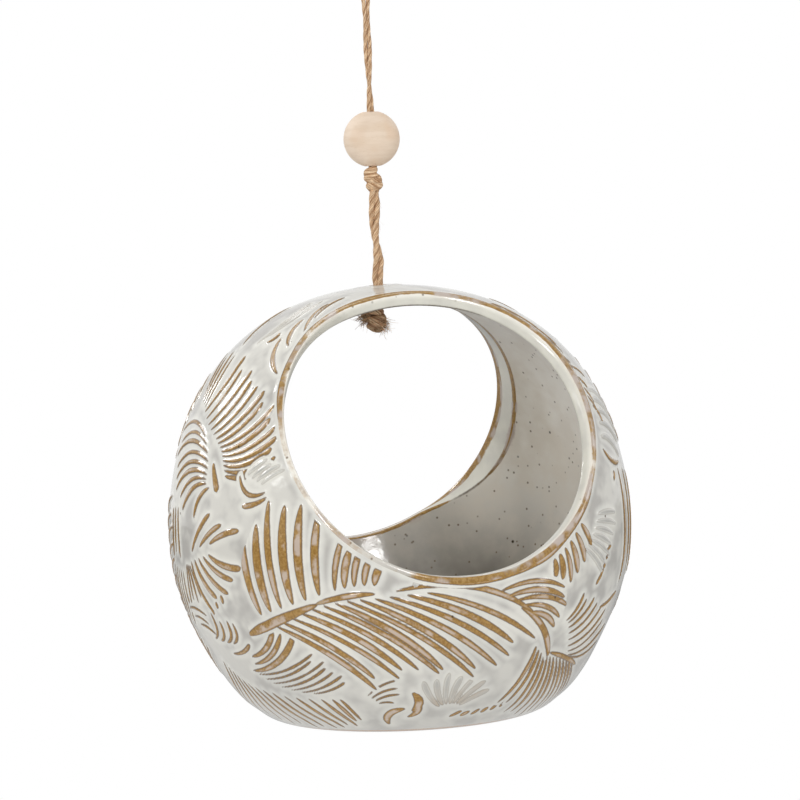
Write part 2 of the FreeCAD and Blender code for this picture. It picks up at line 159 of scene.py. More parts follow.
def grid_faces(rows, columns, wrap_rows=False, wrap_columns=False, start=0):
    """Quads of a grid of points numbered row by row, closed on itself along either way where asked for."""
    row = np.arange(rows if wrap_rows else rows - 1)[:, None]
    column = np.arange(columns if wrap_columns else columns - 1)[None, :]
    next_row = (row + 1) % rows
    next_column = (column + 1) % columns
    corners = (
        row * columns + column,
        row * columns + next_column,
        next_row * columns + next_column,
        next_row * columns + column,
    )
    quads = np.stack(np.broadcast_arrays(*corners), axis=-1)
    return (quads.reshape(-1, 4) + start).tolist()


def grid_normals(points):
    """Unit normals of a grid whose rows close on themselves: the cross product of its differences."""
    along = np.roll(points, -1, axis=0) - np.roll(points, 1, axis=0)
    across = np.gradient(points, axis=1)
    normal = np.cross(across, along)
    return normal / np.maximum(np.linalg.norm(normal, axis=-1, keepdims=True), 1e-12)


def flipped(points, normal):
    """Whether a grid's faces, as numbered, point against a normal at its first corner."""
    first = np.cross(points[0, 1] - points[0, 0], points[1, 0] - points[0, 0])
    return bool(first @ normal < 0)


def outward(faces, flip):
    """Faces in the order that points them outwards."""
    return [face[::-1] for face in faces] if flip else faces


# Materials


class Field:
    """A value in a node tree. Arithmetic on it adds Math nodes."""

    def __init__(self, tree, socket=None):
        self.tree = tree
        self.socket = socket

    def node(self, kind, settings=(), inputs=(), output=0):
        """Any node, with its settings and its input values or links, as one of its outputs."""
        made = self.tree.nodes.new(kind)
        for name, value in dict(settings).items():
            setattr(made, name, value)
        for name, value in dict(inputs).items():
            self.set(made.inputs[name], value)
        return Field(self.tree, made.outputs[output])

    def set(self, place, value):
        """Link a field to an input, or set its number."""
        if isinstance(value, Field):
            self.tree.links.new(value.socket, place)
        else:
            place.default_value = value

    def math(self, operation, *values):
        return self.node("ShaderNodeMath", {"operation": operation}, dict(enumerate(values)))

    def __add__(self, other):
        return self.math("ADD", self, other)

    def __sub__(self, other):
        return self.math("SUBTRACT", self, other)

    def __rsub__(self, other):
        return self.math("SUBTRACT", other, self)

    def __mul__(self, other):
        return self.math("MULTIPLY", self, other)

    __radd__ = __add__
    __rmul__ = __mul__

    def smooth(self, low, high):
        """S-curve from 0 at low to 1 at high."""
        inputs = {"Value": self, "From Min": low, "From Max": high}
        return self.node("ShaderNodeMapRange", {"interpolation_type": "SMOOTHSTEP"}, inputs)

    def mix(self, first, second):
        """A colour between two, by this share of the second."""
        settings = {"data_type": "RGBA", "clamp_factor": True}
        return self.node("ShaderNodeMix", settings, {0: self, 6: first, 7: second}, 2)

    def attribute(self, name):
        return self.node("ShaderNodeAttribute", {"attribute_name": name}, output="Fac")

    def place(self):
        """Where a point is in the frame, in metres."""
        return self.node("ShaderNodeTexCoord", output="Object")

    def height(self):
        """How high a point is in the frame, in metres."""
        return self.node("ShaderNodeSeparateXYZ", inputs={0: self.place()}, output="Z")

    def noise(self, place, scale, detail=2.0):
        """Noise from 0 to 1 whose features are one divided by scale apart."""
        return self.node("ShaderNodeTexNoise", inputs={"Vector": place, "Scale": scale, "Detail": detail})

    def bump(self, height, strength, distance):
        """Normals of a fine relief: its heights, how much of it shows, and its depth in metres."""
        inputs = {"Height": height, "Strength": strength, "Distance": distance}
        return self.node("ShaderNodeBump", inputs=inputs, output="Normal")


def colour(red, green, blue):
    """Linear colour of a screen colour from 0 to 255."""
    screen = np.array([red, green, blue]) / 255
    linear = np.where(screen <= 0.04045, screen / 12.92, ((screen + 0.055) / 1.055) ** 2.4)
    return (*linear.tolist(), 1.0)


def new_material(name):
    """A node material, with a field to build on and a function that sets its shader's inputs."""
    material = bpy.data.materials.new(name)
    material.use_nodes = True
    field = Field(material.node_tree)
    shader = material.node_tree.nodes["Principled BSDF"]

    def paint(**inputs):
        for label, value in inputs.items():
            field.set(shader.inputs[label.replace("_", " ")], value)

    return material, field, paint


def specks(field, place, scale, low, high, keep):
    """Dots at the points of a Voronoi pattern, in those of its cells whose random red is over keep."""
    inputs = {"Vector": place, "Scale": scale}
    near = field.node("ShaderNodeTexVoronoi", inputs=inputs, output="Distance").smooth(high, low)
    tint = field.node("ShaderNodeTexVoronoi", inputs=inputs, output="Color")
    red = field.node("ShaderNodeSeparateColor", inputs={"Color": tint})
    return near * red.smooth(keep, keep + 0.02)


def outside_glaze():
    """Off-white glaze, thick in the ground, that breaks to ochre on the raised strokes and the rim's edge,
    with painted shade that greys the ground towards the foot.
    """
    pale, thick, pooled = colour(234, 232, 223), colour(222, 221, 214), colour(186, 183, 177)
    shaded, covered = colour(192, 190, 184), colour(176, 174, 168)
    dark_ochre, light_ochre, milky = colour(148, 111, 54), colour(180, 142, 78), colour(202, 186, 172)
    outlined, speck, bare_foot = colour(104, 78, 48), colour(84, 62, 40), colour(178, 140, 100)
    material, field, paint = new_material("glaze_outside")
    place = field.place()
    height = field.height()
    broad = field.noise(place, 40.0, 3.0)
    patch = field.noise(place, 120.0, 2.0)
    fine = field.noise(place, 1100.0, 3.0)
    stroke = field.attribute("stroke")
    depth = stroke + (fine - 0.5) * 0.25 + (patch - 0.5) * 0.4
    thin = (field.attribute("bare") + (broad - 0.5) * 1.1).smooth(0.25, 0.6)
    pool = (broad * 0.65 + patch * 0.35).smooth(0.44, 0.6)
    far = stroke.smooth(-0.5, -3.2)
    # painted shade: the ground greys towards the foot
    low = height.smooth((BASE_Z + 42) * MM, (BASE_Z + 10) * MM)
    faint = depth.smooth(0.0, 0.6) * (1.0 - thin)
    ground = pool.mix(pale, thick)
    ground = (far * (0.35 + pool * 0.65)).mix(ground, pooled)
    ground = (low * 0.4).mix(ground, shaded)
    ground = (faint * (0.5 + patch * 0.5)).mix(ground, covered)
    veil = stroke.smooth(0.25, 0.8) * (patch * 0.88 + fine * 0.12).smooth(0.45, 0.57) * 0.9
    clay = veil.mix(fine.smooth(0.3, 0.75).mix(dark_ochre, light_ochre), milky)
    cover = depth.smooth(-0.1, 0.14) * thin
    line = (depth.smooth(-0.34, -0.08) - depth.smooth(0.02, 0.3)) * (0.3 + thin * 0.5)
    tone = line.mix(cover.mix(ground, clay), outlined)
    tone = specks(field, place, 130.0, 0.03, 0.08, 0.7).mix(tone, speck)
    foot = height + (fine - 0.5) * 0.0006
    tone = foot.smooth((BASE_Z + 2.2) * MM, (BASE_Z + 1.2) * MM).mix(tone, bare_foot)
    paint(Base_Color=tone, Roughness=0.06 + fine * 0.05, Normal=field.bump(patch, 0.25, 0.001))
    return material


def inside_glaze():
    """Warm grey speckled glaze inside, pale on the rim's face and brown along its edges, with painted shade
    that darkens it towards the bottom and painted light that brightens it towards the top.
    """
    painted_shade_below, painted_light_above, mottle_and_painted_light = colour(108, 103, 95), colour(252, 248, 238), colour(230, 221, 206)
    small_dot, large_dot = colour(104, 84, 60), colour(64, 54, 44)
    pale, grey = colour(232, 230, 218), colour(218, 216, 206)
    dark_ochre, light_ochre, milky = colour(146, 110, 54), colour(178, 142, 80), colour(198, 186, 178)
    outlined = colour(88, 72, 54)
    material, field, paint = new_material("glaze_inside")
    place = field.place()
    broad = field.noise(place, 30.0, 4.0)
    patch = field.noise(place, 140.0, 3.0)
    fine = field.noise(place, 1000.0, 2.0)
    # painted shade and painted light: the inside runs from dark at the bottom to bright at the top
    high = field.height().smooth((EQUATOR_Z - 45) * MM, (EQUATOR_Z + 25) * MM)
    cloud = (broad * 0.6 + patch * 0.4).smooth(0.38, 0.62)
    # pale mottling of the glaze, made paler and stronger higher up as painted light
    tone = (cloud * (0.15 + high * 0.5)).mix(high.mix(painted_shade_below, painted_light_above), mottle_and_painted_light)
    tone = (specks(field, place, 320.0, 0.06, 0.2, 0.4) * 0.85).mix(tone, small_dot)
    tone = specks(field, place, 120.0, 0.04, 0.1, 0.4).mix(tone, large_dot)
    tone = field.attribute("face").mix(tone, patch.smooth(0.3, 0.8).mix(pale, grey))
    edge = field.attribute("edge")
    haze = (patch * 0.7 + broad * 0.3).smooth(0.48, 0.6) * 0.9 * edge.smooth(1.3, 0.9)
    clay = haze.mix(fine.smooth(0.3, 0.75).mix(dark_ochre, light_ochre), milky)
    ragged = edge + (fine - 0.5) * 0.2 + (patch - 0.5) * 0.9 + (broad - 0.5) * 0.6
    tone = ragged.smooth(0.35, 0.65).mix(tone, clay)
    dark = field.attribute("dark") + (fine - 0.5) * 0.2
    tone = dark.smooth(0.3, 0.8).mix(tone, outlined)
    bump = field.bump(broad + patch * 0.35, 0.22, 0.0016)
    paint(Base_Color=tone, Roughness=0.1 + patch * 0.08, Normal=bump)
    return material


def wood():
    """Pale sanded wood: streaks drawn out along a slanted grain, a faint blush and fine pores."""
    light, streaked = colour(238, 218, 197), colour(230, 208, 184)
    flushed, pored = colour(232, 200, 168), colour(196, 164, 130)
    material, field, paint = new_material("turned_wood")
    place = field.place()
    slanted = {"Vector": place, "Scale": (0.25, 0.25, 1.6), "Rotation": (0.12, 0.2, 0.3)}
    drawn = field.node("ShaderNodeMapping", inputs=slanted)
    grain = field.noise(drawn, 420.0, 5.0)
    pores = field.noise(drawn, 2600.0, 2.0)
    blush = field.noise(place, 90.0, 2.0)
    tone = grain.smooth(0.3, 0.75).mix(light, streaked)
    tone = (blush.smooth(0.5, 0.75) * 0.5).mix(tone, flushed)
    tone = (pores.smooth(0.58, 0.8) * 0.3).mix(tone, pored)
    paint(Base_Color=tone, Roughness=0.55 + grain * 0.15, Normal=field.bump(pores, 0.1, 0.0001))
    return material


def jute(name, light, middle, dark):
    """Jute: streaks along the fibres, from attributes for the way along the strand and round it, with painted
    shade between the plies.
    """
    material, field, paint = new_material(name)
    along = field.attribute("along")
    around = field.attribute("around")
    streak_place = field.node("ShaderNodeCombineXYZ", inputs={0: along * 0.22, 1: around * 2.6, 2: 0.0})
    streak = field.noise(streak_place, 1.0, 4.0)
    spots = field.noise(field.place(), 900.0, 3.0)
    fleck_place = field.node("ShaderNodeCombineXYZ", inputs={0: along * 0.7, 1: around * 5.0, 2: 3.0})
    flecks = field.noise(fleck_place, 1.0, 3.0)
    tone = streak.smooth(0.3, 0.68).mix(dark, light)
    tone = (spots.smooth(0.45, 0.7) * 0.55).mix(tone, middle)
    tone = (flecks.smooth(0.54, 0.66) * 0.7).mix(tone, dark)
    # painted shade between the plies
    tone = (field.attribute("painted_groove_shade") * 0.75).mix(tone, dark)
    paint(Base_Color=tone, Roughness=0.85, Normal=field.bump(streak + flecks * 0.5, 0.7, 0.0002))
    return material


OUTSIDE = outside_glaze()
INSIDE = inside_glaze()
WOOD = wood()
JUTE = jute("jute", colour(255, 226, 188), colour(240, 198, 154), colour(146, 100, 60))
# the stopper's jute: redder than the cord, and lightened as painted light against the shade the knot hangs in
KNOT_JUTE_PAINTED_LIGHT = jute("jute_knot_painted_light", colour(255, 228, 190), colour(255, 200, 154), colour(132, 82, 50))

# Pot: the ball's section


def arc(centre_x, centre_z, radius, first, last, count):
    """Points of an arc between two angles in degrees, as radius and height."""
    angle = np.radians(np.linspace(first, last, count))
    return np.stack([centre_x + radius * np.cos(angle), centre_z + radius * np.sin(angle)], axis=-1)


def ball_outline(inset, floor, corner):
    """Half of the ball's section from its crown to the middle of its base, set in by a wall.

    Each arc keeps its centre and has its radius less the inset. The base's corner is an arc of its own radius
    that touches the lower shoulder and the floor: its centre is a corner radius above the floor, and as far
    from the shoulder's centre as the two radii differ.
    """
    shoulder = SHOULDER_ARC - inset
    rise = floor + corner + SHOULDER_Z
    corner_x = SHOULDER_X + math.sqrt((shoulder - corner) ** 2 - rise**2)
    touch = math.degrees(math.atan2(rise, corner_x - SHOULDER_X))
    pieces = [
        arc(0, -CROWN_DROP, CROWN_ARC - inset, 90, 90 - CROWN_ANGLE, 400),
        arc(SHOULDER_X, SHOULDER_Z, shoulder, 90 - CROWN_ANGLE, SIDE_ANGLE, 600),
        arc(-SIDE_SETBACK, 0, SIDE_ARC - inset, SIDE_ANGLE, -SIDE_ANGLE, 800),
        arc(SHOULDER_X, -SHOULDER_Z, shoulder, -SIDE_ANGLE, touch, 400),
        arc(corner_x, floor + corner, corner, touch, -90, 200),
        np.stack([np.linspace(corner_x, 0, 400), np.full(400, floor)], axis=-1),
    ]
    return np.concatenate(pieces)


def narrowed(outline):
    """The outline with its lower shoulder drawn in a little, as the thrown pot's is above its foot."""
    height = outline[:, 1]
    above_foot = smooth(height, -BASE_DEPTH, FOOT_HEIGHT - BASE_DEPTH)
    amount = LOWER_NARROWING * smooth(height, NARROW_FROM, NARROW_TO) * above_foot
    return outline - np.stack([amount, np.zeros_like(amount)], axis=-1)


OUTER = narrowed(ball_outline(0.0, -BASE_DEPTH, BASE_ROUND))
INNER = ball_outline(WALL, FLOOR - BASE_DEPTH, FLOOR_ROUND)


def surface(outline, turn, tilt):
    """Points of a surface of revolution seen from the middle of the openings.

    turn is the angle about the front-to-back axis, from +X over the top, and tilt the angle out of the middle
    plane, towards the back. A ray in that direction leaves at an elevation of asin(cos tilt sin turn), which
    alone gives its length to the surface.
    """
    turn, tilt = np.broadcast_arrays(turn, tilt)
    ray = np.stack([np.cos(tilt) * np.cos(turn), np.sin(tilt), np.cos(tilt) * np.sin(turn)], axis=-1)
    rise = np.arctan2(outline[:, 1] - MIDDLE[2], outline[:, 0])[::-1]
    reach = np.hypot(outline[:, 0], outline[:, 1] - MIDDLE[2])[::-1]
    length = np.interp(np.arcsin(np.clip(ray[..., 2], -1, 1)), rise, reach)
    return ray * length[..., None] + MIDDLE


def rim_tilt(outline, turn):
    """The tilt at which a surface meets an opening's cone, by halving: inside the cone tilts are larger."""
    axis = np.array([0, math.cos(CONE_TILT), math.sin(CONE_TILT)])
    low = np.zeros_like(turn)
    high = np.full_like(turn, math.pi / 2)
    for _ in range(50):
        middle = (low + high) / 2
        away = surface(outline, turn, middle) + np.array([0, 0, CONE_DROP])
        inside = away @ axis > np.linalg.norm(away, axis=-1) * math.cos(CONE_HALF)
        high = np.where(inside, middle, high)
        low = np.where(inside, low, middle)
    return low


# Pot: raised leaf strokes

REACH = 83.0
LEAF_SPAN, LEAF_GAP = 62.0, 1.6
FAR = -9.0
UNEVEN, WIDTH_BEAT, LENGTH_BEAT = 0.14, 2.4, 3.7
HALF_TURN = np.array([-1, -1, 1])


def directions(places):
    """Unit directions from the ball's centre to places given as longitude from the front and height."""
    longitude, height = np.asarray(places, float).T
    longitude = np.radians(longitude)
    radius = np.interp(height, OUTER[::-1, 1], OUTER[::-1, 0])
    return unit_vectors(np.stack([radius * np.sin(longitude), -radius * np.cos(longitude), height], axis=-1))


def chart(place, unit):
    """Flat coordinates of directions about a place: distance and bearing from that place are kept."""
    middle = directions([place])[0]
    longitude = math.radians(place[0])
    east = np.array([math.cos(longitude), math.sin(longitude), 0.0])
    north = np.cross(east, middle)
    north = north * np.sign(north[2])
    turn = np.arccos(np.clip(unit @ middle, -1, 1))
    scale = REACH * turn / np.maximum(np.sin(turn), 1e-9)
    return np.stack([unit @ east * scale, unit @ north * scale], axis=-1)


def through(points, share):
    """The polynomial curve through a few points (Lagrange's form), at shares of its way."""
    knots = np.linspace(0, 1, len(points))
    result = np.zeros((len(share), 2))
    for number, point in enumerate(points):
        others = np.delete(knots, number)
        weight = np.prod((share[:, None] - others) / (knots[number] - others), axis=1)
        result += weight[:, None] * point
    return result


def stroke_depth(flat, start, end, width, bow, peak):
    """How far inside a stroke each point lies, below 0 outside it.

    The stroke's line bows off its chord by 4 bow length w (1 - w) at way w. Its half-width follows a quarter
    circle from 0 at both ends to its widest at the peak.
    """
    length = np.hypot(*(end - start))
    along = (end - start) / length
    side = np.array([-along[1], along[0]])
    way = (flat - start) @ along / length
    inside = np.clip(way, 0, 1)
    line = 4 * bow * length * inside * (1 - inside)
    slope = 4 * bow * (1 - 2 * inside)
    lateral = ((flat - start) @ side - line) / np.sqrt(1 + slope**2)
    beyond = (way - inside) * length
    rise = np.where(inside < peak, inside / peak, (1 - inside) / (1 - peak))
    half = width / 2 * np.sqrt(np.clip(rise * (2 - rise), 0, 1))
    return half - np.hypot(lateral, beyond)


def ribs(roots, tips, count, width, bow=0.0, peak=0.5, bare=1.0, last=1.0):
    """A set of strokes from a line of roots to a line of tips, each line through a few places on the ball.

    A place is a longitude from the front, in degrees, and a height over the equator. bow and peak shape a
    stroke, bare is how much of the brown body shows on it, and last the width of the last over the first's.
    """
    return dict(roots=roots, tips=tips, count=count, width=width, bow=bow, peak=peak, bare=bare, last=last)


def leaf(place, *rib_sets):
    """A leaf: the place it is drawn about, and its sets of strokes within LEAF_SPAN of there."""
    return place, rib_sets


LEAVES = [
    # strokes between the leaves at the sides
    leaf(
        (72, 42),
        ribs([(64, 30), (70, 44), (76, 58)], [(70, 24), (78, 36), (84, 50)], 6, 1.2, 0.1, 0.7, 0.9),
    ),
    # small leaf at the side
    leaf(
        (80, -18),
        ribs([(74, 8), (76, -8), (78, -24)], [(84, 16), (87, 0), (88, -16)], 6, 1.3, 0.1, 0.7, 0.9),
        ribs([(70, -34), (76, -44), (84, -52)], [(77, -22), (83, -32), (90, -42)], 6, 1.2, 0.1, 0.7, 0.9),
    ),
    # right shoulder
    leaf(
        (55, 34),
        ribs([(49, 78), (52, 71), (46, 61)], [(55, 73), (57, 62), (53, 53)], 5, 1.2, 0.06, 0.4, 0.9),
        ribs([(50, 55), (50, 47), (53, 38)], [(62, 52), (54, 41), (55, 31)], 5, 1.2, 0.15, 0.5, 0.9),
        ribs([(48, 25)], [(58, 20)], 1, 1.7, -0.15),
        ribs([(52, 17)], [(51, 14)], 1, 1.4),
        ribs([(53, 18), (69, 15)], [(53, -21), (69, -19)], 3, 1.5, 0.03),
        ribs([(53, 47), (53, 38), (48, 27)], [(66, 41), (66, 30), (58, 19)], 5, 2.4, 0.12, 0.6, 0.1),
    ),
    # left shoulder
    leaf(
        (-68, 70),
        ribs([(-55, 57)], [(-63, 68)], 1, 1.5, 0.12),
        ribs([(-57, 66)], [(-61, 74)], 1, 1.5, 0.1),
        ribs([(-53, 70)], [(-58, 79)], 1, 1.1, 0.08, 0.5, 0.8),
        ribs([(-55, 75)], [(-54, 81)], 1, 0.9, 0.05, 0.5, 0.6),
        ribs([(-70, 67)], [(-67, 70)], 1, 1.4, -0.2, 0.7, 0.9),
        ribs([(-77, 66), (-71, 70)], [(-80, 79), (-68, 80)], 3, 0.9, -0.12, 0.5, 0.2),
        ribs([(-87, 65), (-94, 72)], [(-91, 71), (-100, 79)], 4, 0.8, 0.05, 0.5, 0.5),
    ),
    # leaf beside the rim on the right
    leaf(
        (36, -8),
        ribs([(33, -8), (37, -3), (40, 5)], [(41, -18), (46, -8), (50, 5)], 7, 1.6, 0.04, 0.6, 0.1),
        ribs([(41, -19), (43, -15), (44, -8)], [(40, -21), (42, -17), (47, -6)], 6, 1.4, 0.0, 0.6, 1.0),
        ribs([(22, -10), (27, -5), (33, 3)], [(22, -14), (30, -17), (37, -3)], 6, 2.4, 0.06, 0.6, 1.0),
    ),
    # small leaf on the left
    leaf(
        (-77, -7),
        ribs([(-83, -9), (-80, -9)], [(-87, -24), (-76, -20)], 4, 0.9, 0.05, 0.5, 0.9),
        ribs([(-66, -17), (-75, -25)], [(-66, -20), (-75, -27)], 3, 1.5),
        ribs([(-94, -10), (-85, -12)], [(-102, -28), (-89, -32)], 5, 0.7, 0.05, 0.5, 0.6),
        ribs([(-93, 10), (-86, 11)], [(-94, -7), (-85, -6)], 3, 1.0, 0.03, 0.5, 0.8),
        ribs([(-80, -5), (-74, -2), (-67, 0)], [(-73, 10), (-64, 7), (-57, 3)], 3, 1.8, 0.05, 0.8, 0.9),
        ribs(
            [(-80, -8), (-75, -6), (-69, -4)],
            [(-76, -25), (-65, -17), (-57, -6)],
            5, 1.8, -0.07, 0.85, 1.0, 1.2,
        ),
    ),
    # leaf under the foot of the main frond
    leaf(
        (-48, -50),
        ribs([(-80, -35), (-74, -36), (-68, -36)], [(-77, -25), (-70, -28), (-65, -28)], 4, 1.3, -0.2, 0.6),
        ribs([(-72, -40)], [(-63, -36)], 1, 1.2, -0.08, 0.8),
        ribs([(-64, -39), (-64, -43), (-68, -47)], [(-55, -31), (-49, -30), (-46, -33)], 3, 2.0, -0.1, 0.75),
        ribs(
            [(-65, -46), (-57, -51), (-44, -53)],
            [(-44, -38), (-39, -43), (-33, -49)],
            7, 0.7, -0.05, 0.85, 0.8,
        ),
        ribs(
            [(-83, -43), (-77, -49), (-67, -53), (-50, -55), (-37, -55)],
            [(-95, -60), (-79, -65), (-56, -67), (-40, -66), (-33, -62)],
            15, 0.9, 0.05, 0.5, 0.9, 1.5,
        ),
        ribs(
            [(-29, -53), (-27, -55), (-25, -57)],
            [(-20, -47), (-19, -52), (-22, -58)],
            4, 0.7, 0.1, 0.7, 0.8,
        ),
        ribs([(-90, -24), (-84, -32)], [(-79, -25), (-77, -35)], 3, 1.0, 0.1, 0.6, 0.9),
    ),
    # leaf at the bottom
    leaf(
        (-3, -57),
        ribs(
            [(-7, -59), (-3, -58), (1, -59)],
            [(-13, -51), (-5, -47), (4, -49), (11, -55)],
            7, 1.9, 0.05, 0.75, 0.28,
        ),
        ribs([(-15, -51), (-13, -58)], [(-14, -58), (-18, -64)], 2, 2.6, 0.2, 0.45),
        ribs([(-24, -65)], [(-18, -59)], 1, 2.4, 0.25, 0.6, 0.9),
        ribs([(-4, -63), (8, -63), (18, -61)], [(0, -61), (10, -61), (19, -58)], 6, 1.5, 0.0, 0.5, 0.8),
    ),
    # fan at the lower right
    leaf(
        (38, -45),
        ribs(
            [(21, -39), (27, -44), (34, -46), (44, -50)],
            [(14, -57), (28, -66), (46, -67), (54, -62)],
            13, 1.5, 0.06, 0.35, 1.0, 0.6,
        ),
        ribs(
            [(30, -32), (33, -36), (36, -43), (39, -46)],
            [(34, -23), (42, -27), (52, -33), (59, -46)],
            9, 1.4, -0.1, 0.75, 1.0, 0.6,
        ),
        ribs([(28, -43)], [(45, -50)], 1, 1.6, 0.04),
        ribs([(46, -30)], [(55, -26)], 1, 1.5, -0.05),
    ),
    # tall frond on the left
    leaf(
        (-74, 34),
        ribs([(-90, 48), (-83, 45)], [(-102, 62), (-84, 63)], 4, 0.9, -0.05, 0.6, 0.9),
        ribs(
            [(-84, 45), (-75, 38), (-69, 33), (-66, 28), (-64, 22)],
            [(-80, 63), (-64, 55), (-54, 47), (-49, 36), (-52, 25)],
            14, 1.5, -0.12, 0.9, 1.0, 1.25,
        ),
        ribs(
            [(-78, 37), (-74, 31), (-72, 25), (-72, 21), (-69, 18)],
            [(-97, 38), (-96, 29), (-92, 20), (-86, 13), (-73, 5)],
            9, 1.2, -0.14, 0.6, 0.9, 1.5,
        ),
        ribs([(-70, 27)], [(-67, 18)], 1, 2.5, 0.0, 0.85),
    ),
    # small strokes under the tall frond
    leaf(
        (-51, 18),
        ribs([(-59, 23)], [(-51, 18)], 1, 1.3, -0.28),
        ribs([(-50, 16)], [(-57, 13)], 1, 1.6, 0.06, 0.8),
        ribs([(-57, 24), (-51, 20)], [(-52, 29), (-44, 25)], 4, 1.5, 0.05, 0.6, 0.0),
    ),
    # main frond
    leaf(
        (-16, -22),
        ribs([(-56, -25), (-46, -21), (-35, -16)], [(-59, 0), (-47, 14), (-33, 9)], 6, 3.2, 0.06, 0.5),
        ribs([(-34, -16), (-28, -14), (-22, -14)], [(-31, 3), (-26, -2), (-20, -8)], 5, 2.3, 0.06, 0.6, 0.8),
        ribs(
            [(-51, -29), (-45, -25), (-37, -21), (-29, -19), (-20, -18), (-8, -17)],
            [(-29, -50), (-20, -46), (-10, -45), (2, -47), (12, -42), (20, -36)],
            13, 2.1, 0.08, 0.6,
        ),
        ribs([(-15, -15), (1, -15)], [(-14, -13), (2, -13)], 7, 1.8, 0.0, 0.5, 0.0),
        ribs(
            [(7, -17), (10, -21), (14, -24), (18, -29)],
            [(23, -18), (29, -24), (28, -30), (26, -35)],
            5, 2.0, 0.13, 0.6,
        ),
        ribs([(-61, -32)], [(-39, -21)], 1, 3.3, 0.03, 0.3),
        ribs([(-38, -20)], [(-24, -17)], 1, 1.8, 0.05, 0.5, 0.6),
        ribs([(-18, -16)], [(16, -27)], 1, 1.8, 0.14, 0.6),
        ribs([(14, -25)], [(27, -44)], 1, 2.2, 0.12, 0.6),
    ),
]


def leaf_strokes(place, rib_sets, unit):
    """Depth inside one leaf's strokes, and their bareness, at unit directions near it."""
    flat = chart(place, unit)
    best = np.full(len(unit), FAR)
    bare = np.zeros(len(unit))
    for rib in rib_sets:
        share = (np.arange(rib["count"]) + 0.5) / rib["count"]
        roots = through(chart(place, directions(rib["roots"])), share)
        tips = through(chart(place, directions(rib["tips"])), share)
        for number, (root, tip) in enumerate(zip(roots, tips)):
            wide = rib["width"] * (1 + (rib["last"] - 1) * share[number])
            wide *= 1 + UNEVEN * math.sin(WIDTH_BEAT * number + rib["count"])
            far = root + (tip - root) * (1 + UNEVEN / 2 * math.sin(LENGTH_BEAT * number + 1))
            found = stroke_depth(flat, root, far, wide, rib["bow"], rib["peak"])
            bare = np.where(found > best, rib["bare"], bare)
            best = np.maximum(best, found)
    return best, bare


def relief(points):
    """Depth and bareness of the strokes at points.

    Each leaf is drawn in front and again a half turn on. A later leaf clears a gap in the earlier ones.
    """
    unit = unit_vectors(points.reshape(-1, 3))
    depth = np.full(len(unit), FAR)
    bare = np.zeros(len(unit))
    for place, rib_sets in LEAVES:
        for turned in (unit * HALF_TURN, unit):
            near = np.flatnonzero(turned @ directions([place])[0] > math.cos(LEAF_SPAN / REACH))
            best, best_bare = leaf_strokes(place, rib_sets, turned[near])
            cleared = np.minimum(depth[near], -best - LEAF_GAP)
            bare[near] = np.where(best > cleared, best_bare, bare[near])
            depth[near] = np.maximum(best, cleared)
    return depth.reshape(points.shape[:2]), bare.reshape(points.shape[:2])


# Pot: the skin, a grid of rows round the front-to-back axis and columns from the front rim to the back one

ROWS, COLUMNS, SECTORS = 860, 400, 4
TURN_SAMPLES, FIRST_TURN = 7201, -math.pi / 4
RIM_ROUND, RIM_INNER_ROUND = 2.6, 1.2
STROKE_RISE, RIM_RISE, RIM_SWELL = 0.65, 0.4, 6.5
STROKES_FROM_RIM = 1.7
HOLE_CLEAR, HOLE_CLEAR_END = 6.5, 10.0
FOOT_CLEAR, FOOT_CLEAR_END = 2.0, 26.0
UPPER_RIGHT, LOWER_RIGHT = math.radians(38), math.radians(-50)


def even_turns():
    """Turns of the grid's rows, at equal distances round the ball's middle section, from its lower right."""
    turn = np.linspace(FIRST_TURN, FIRST_TURN + 2 * math.pi, TURN_SAMPLES)
    way = way_along(surface(OUTER, turn, np.zeros_like(turn)))
    return np.interp(np.arange(ROWS) / ROWS * way[-1], way, turn)


def waves(points):
    """A few slow waves, in millimetres, for the unevenness of a thrown and glazed wall."""
    x, y, z = np.moveaxis(points, -1, 0)
    first = np.sin(x / 9 + 0.7) * np.sin(y / 11 + z / 23) + np.sin(z / 8 + x / 19)
    second = np.sin(x / 21 - z / 17 + 1.1) + np.sin(y / 15 + 0.4)
    return 0.05 * first + 0.08 * second


def from_hole(points):
    """Distance from the axis of the cord hole, and out of reach for points of the lower half."""
    gap = np.hypot(points[..., 0] - HOLE_AT[0], points[..., 1] - HOLE_AT[1])
    return np.where(points[..., 2] > 0, gap, BALL_RADIUS)


turns = even_turns()
outer_limit = rim_tilt(OUTER, turns)
inner_limit = rim_tilt(INNER, turns)
edge_reach = np.linalg.norm(surface(OUTER, turns, outer_limit) - MIDDLE, axis=-1)
skin_limit = outer_limit - RIM_ROUND / edge_reach
plain = surface(OUTER, turns[:, None], skin_limit[:, None] * np.linspace(-1, 1, COLUMNS + 1))
plain_normal = grid_normals(plain)
if (plain_normal[0, COLUMNS // 2] @ plain[0, COLUMNS // 2]) < 0:
    plain_normal = -plain_normal
steps = np.linalg.norm(np.diff(plain, axis=1), axis=-1)
way = np.concatenate([np.zeros((ROWS, 1)), np.cumsum(steps, axis=1)], axis=1)
rim_gap = np.minimum(way, way[:, -1:] - way) + RIM_ROUND
away_from_hole = smooth(from_hole(plain), HOLE_CLEAR, HOLE_CLEAR_END)
above_foot = smooth(plain[..., 2], FOOT_CLEAR - BASE_DEPTH, FOOT_CLEAR_END - BASE_DEPTH)

# The skin's relief: strokes that stop short of the rims, and a slight swell along each rim

stroke, bare = relief(plain)
stroke = np.minimum(stroke, rim_gap - RIM_ROUND - STROKES_FROM_RIM)
lift = STROKE_RISE * smooth(stroke, -0.7, 0.8) + RIM_RISE * smooth(rim_gap, RIM_SWELL, RIM_ROUND)
lift = (lift - STROKE_RISE / 2 + waves(plain)) * away_from_hole * above_foot
skin = plain + plain_normal * lift[..., None]
skin_normal = grid_normals(skin)
skin_normal = skin_normal * np.sign((skin_normal * plain_normal).sum(-1, keepdims=True))

# The skin's brown band along each rim, uneven and broader at the upper and the lower right

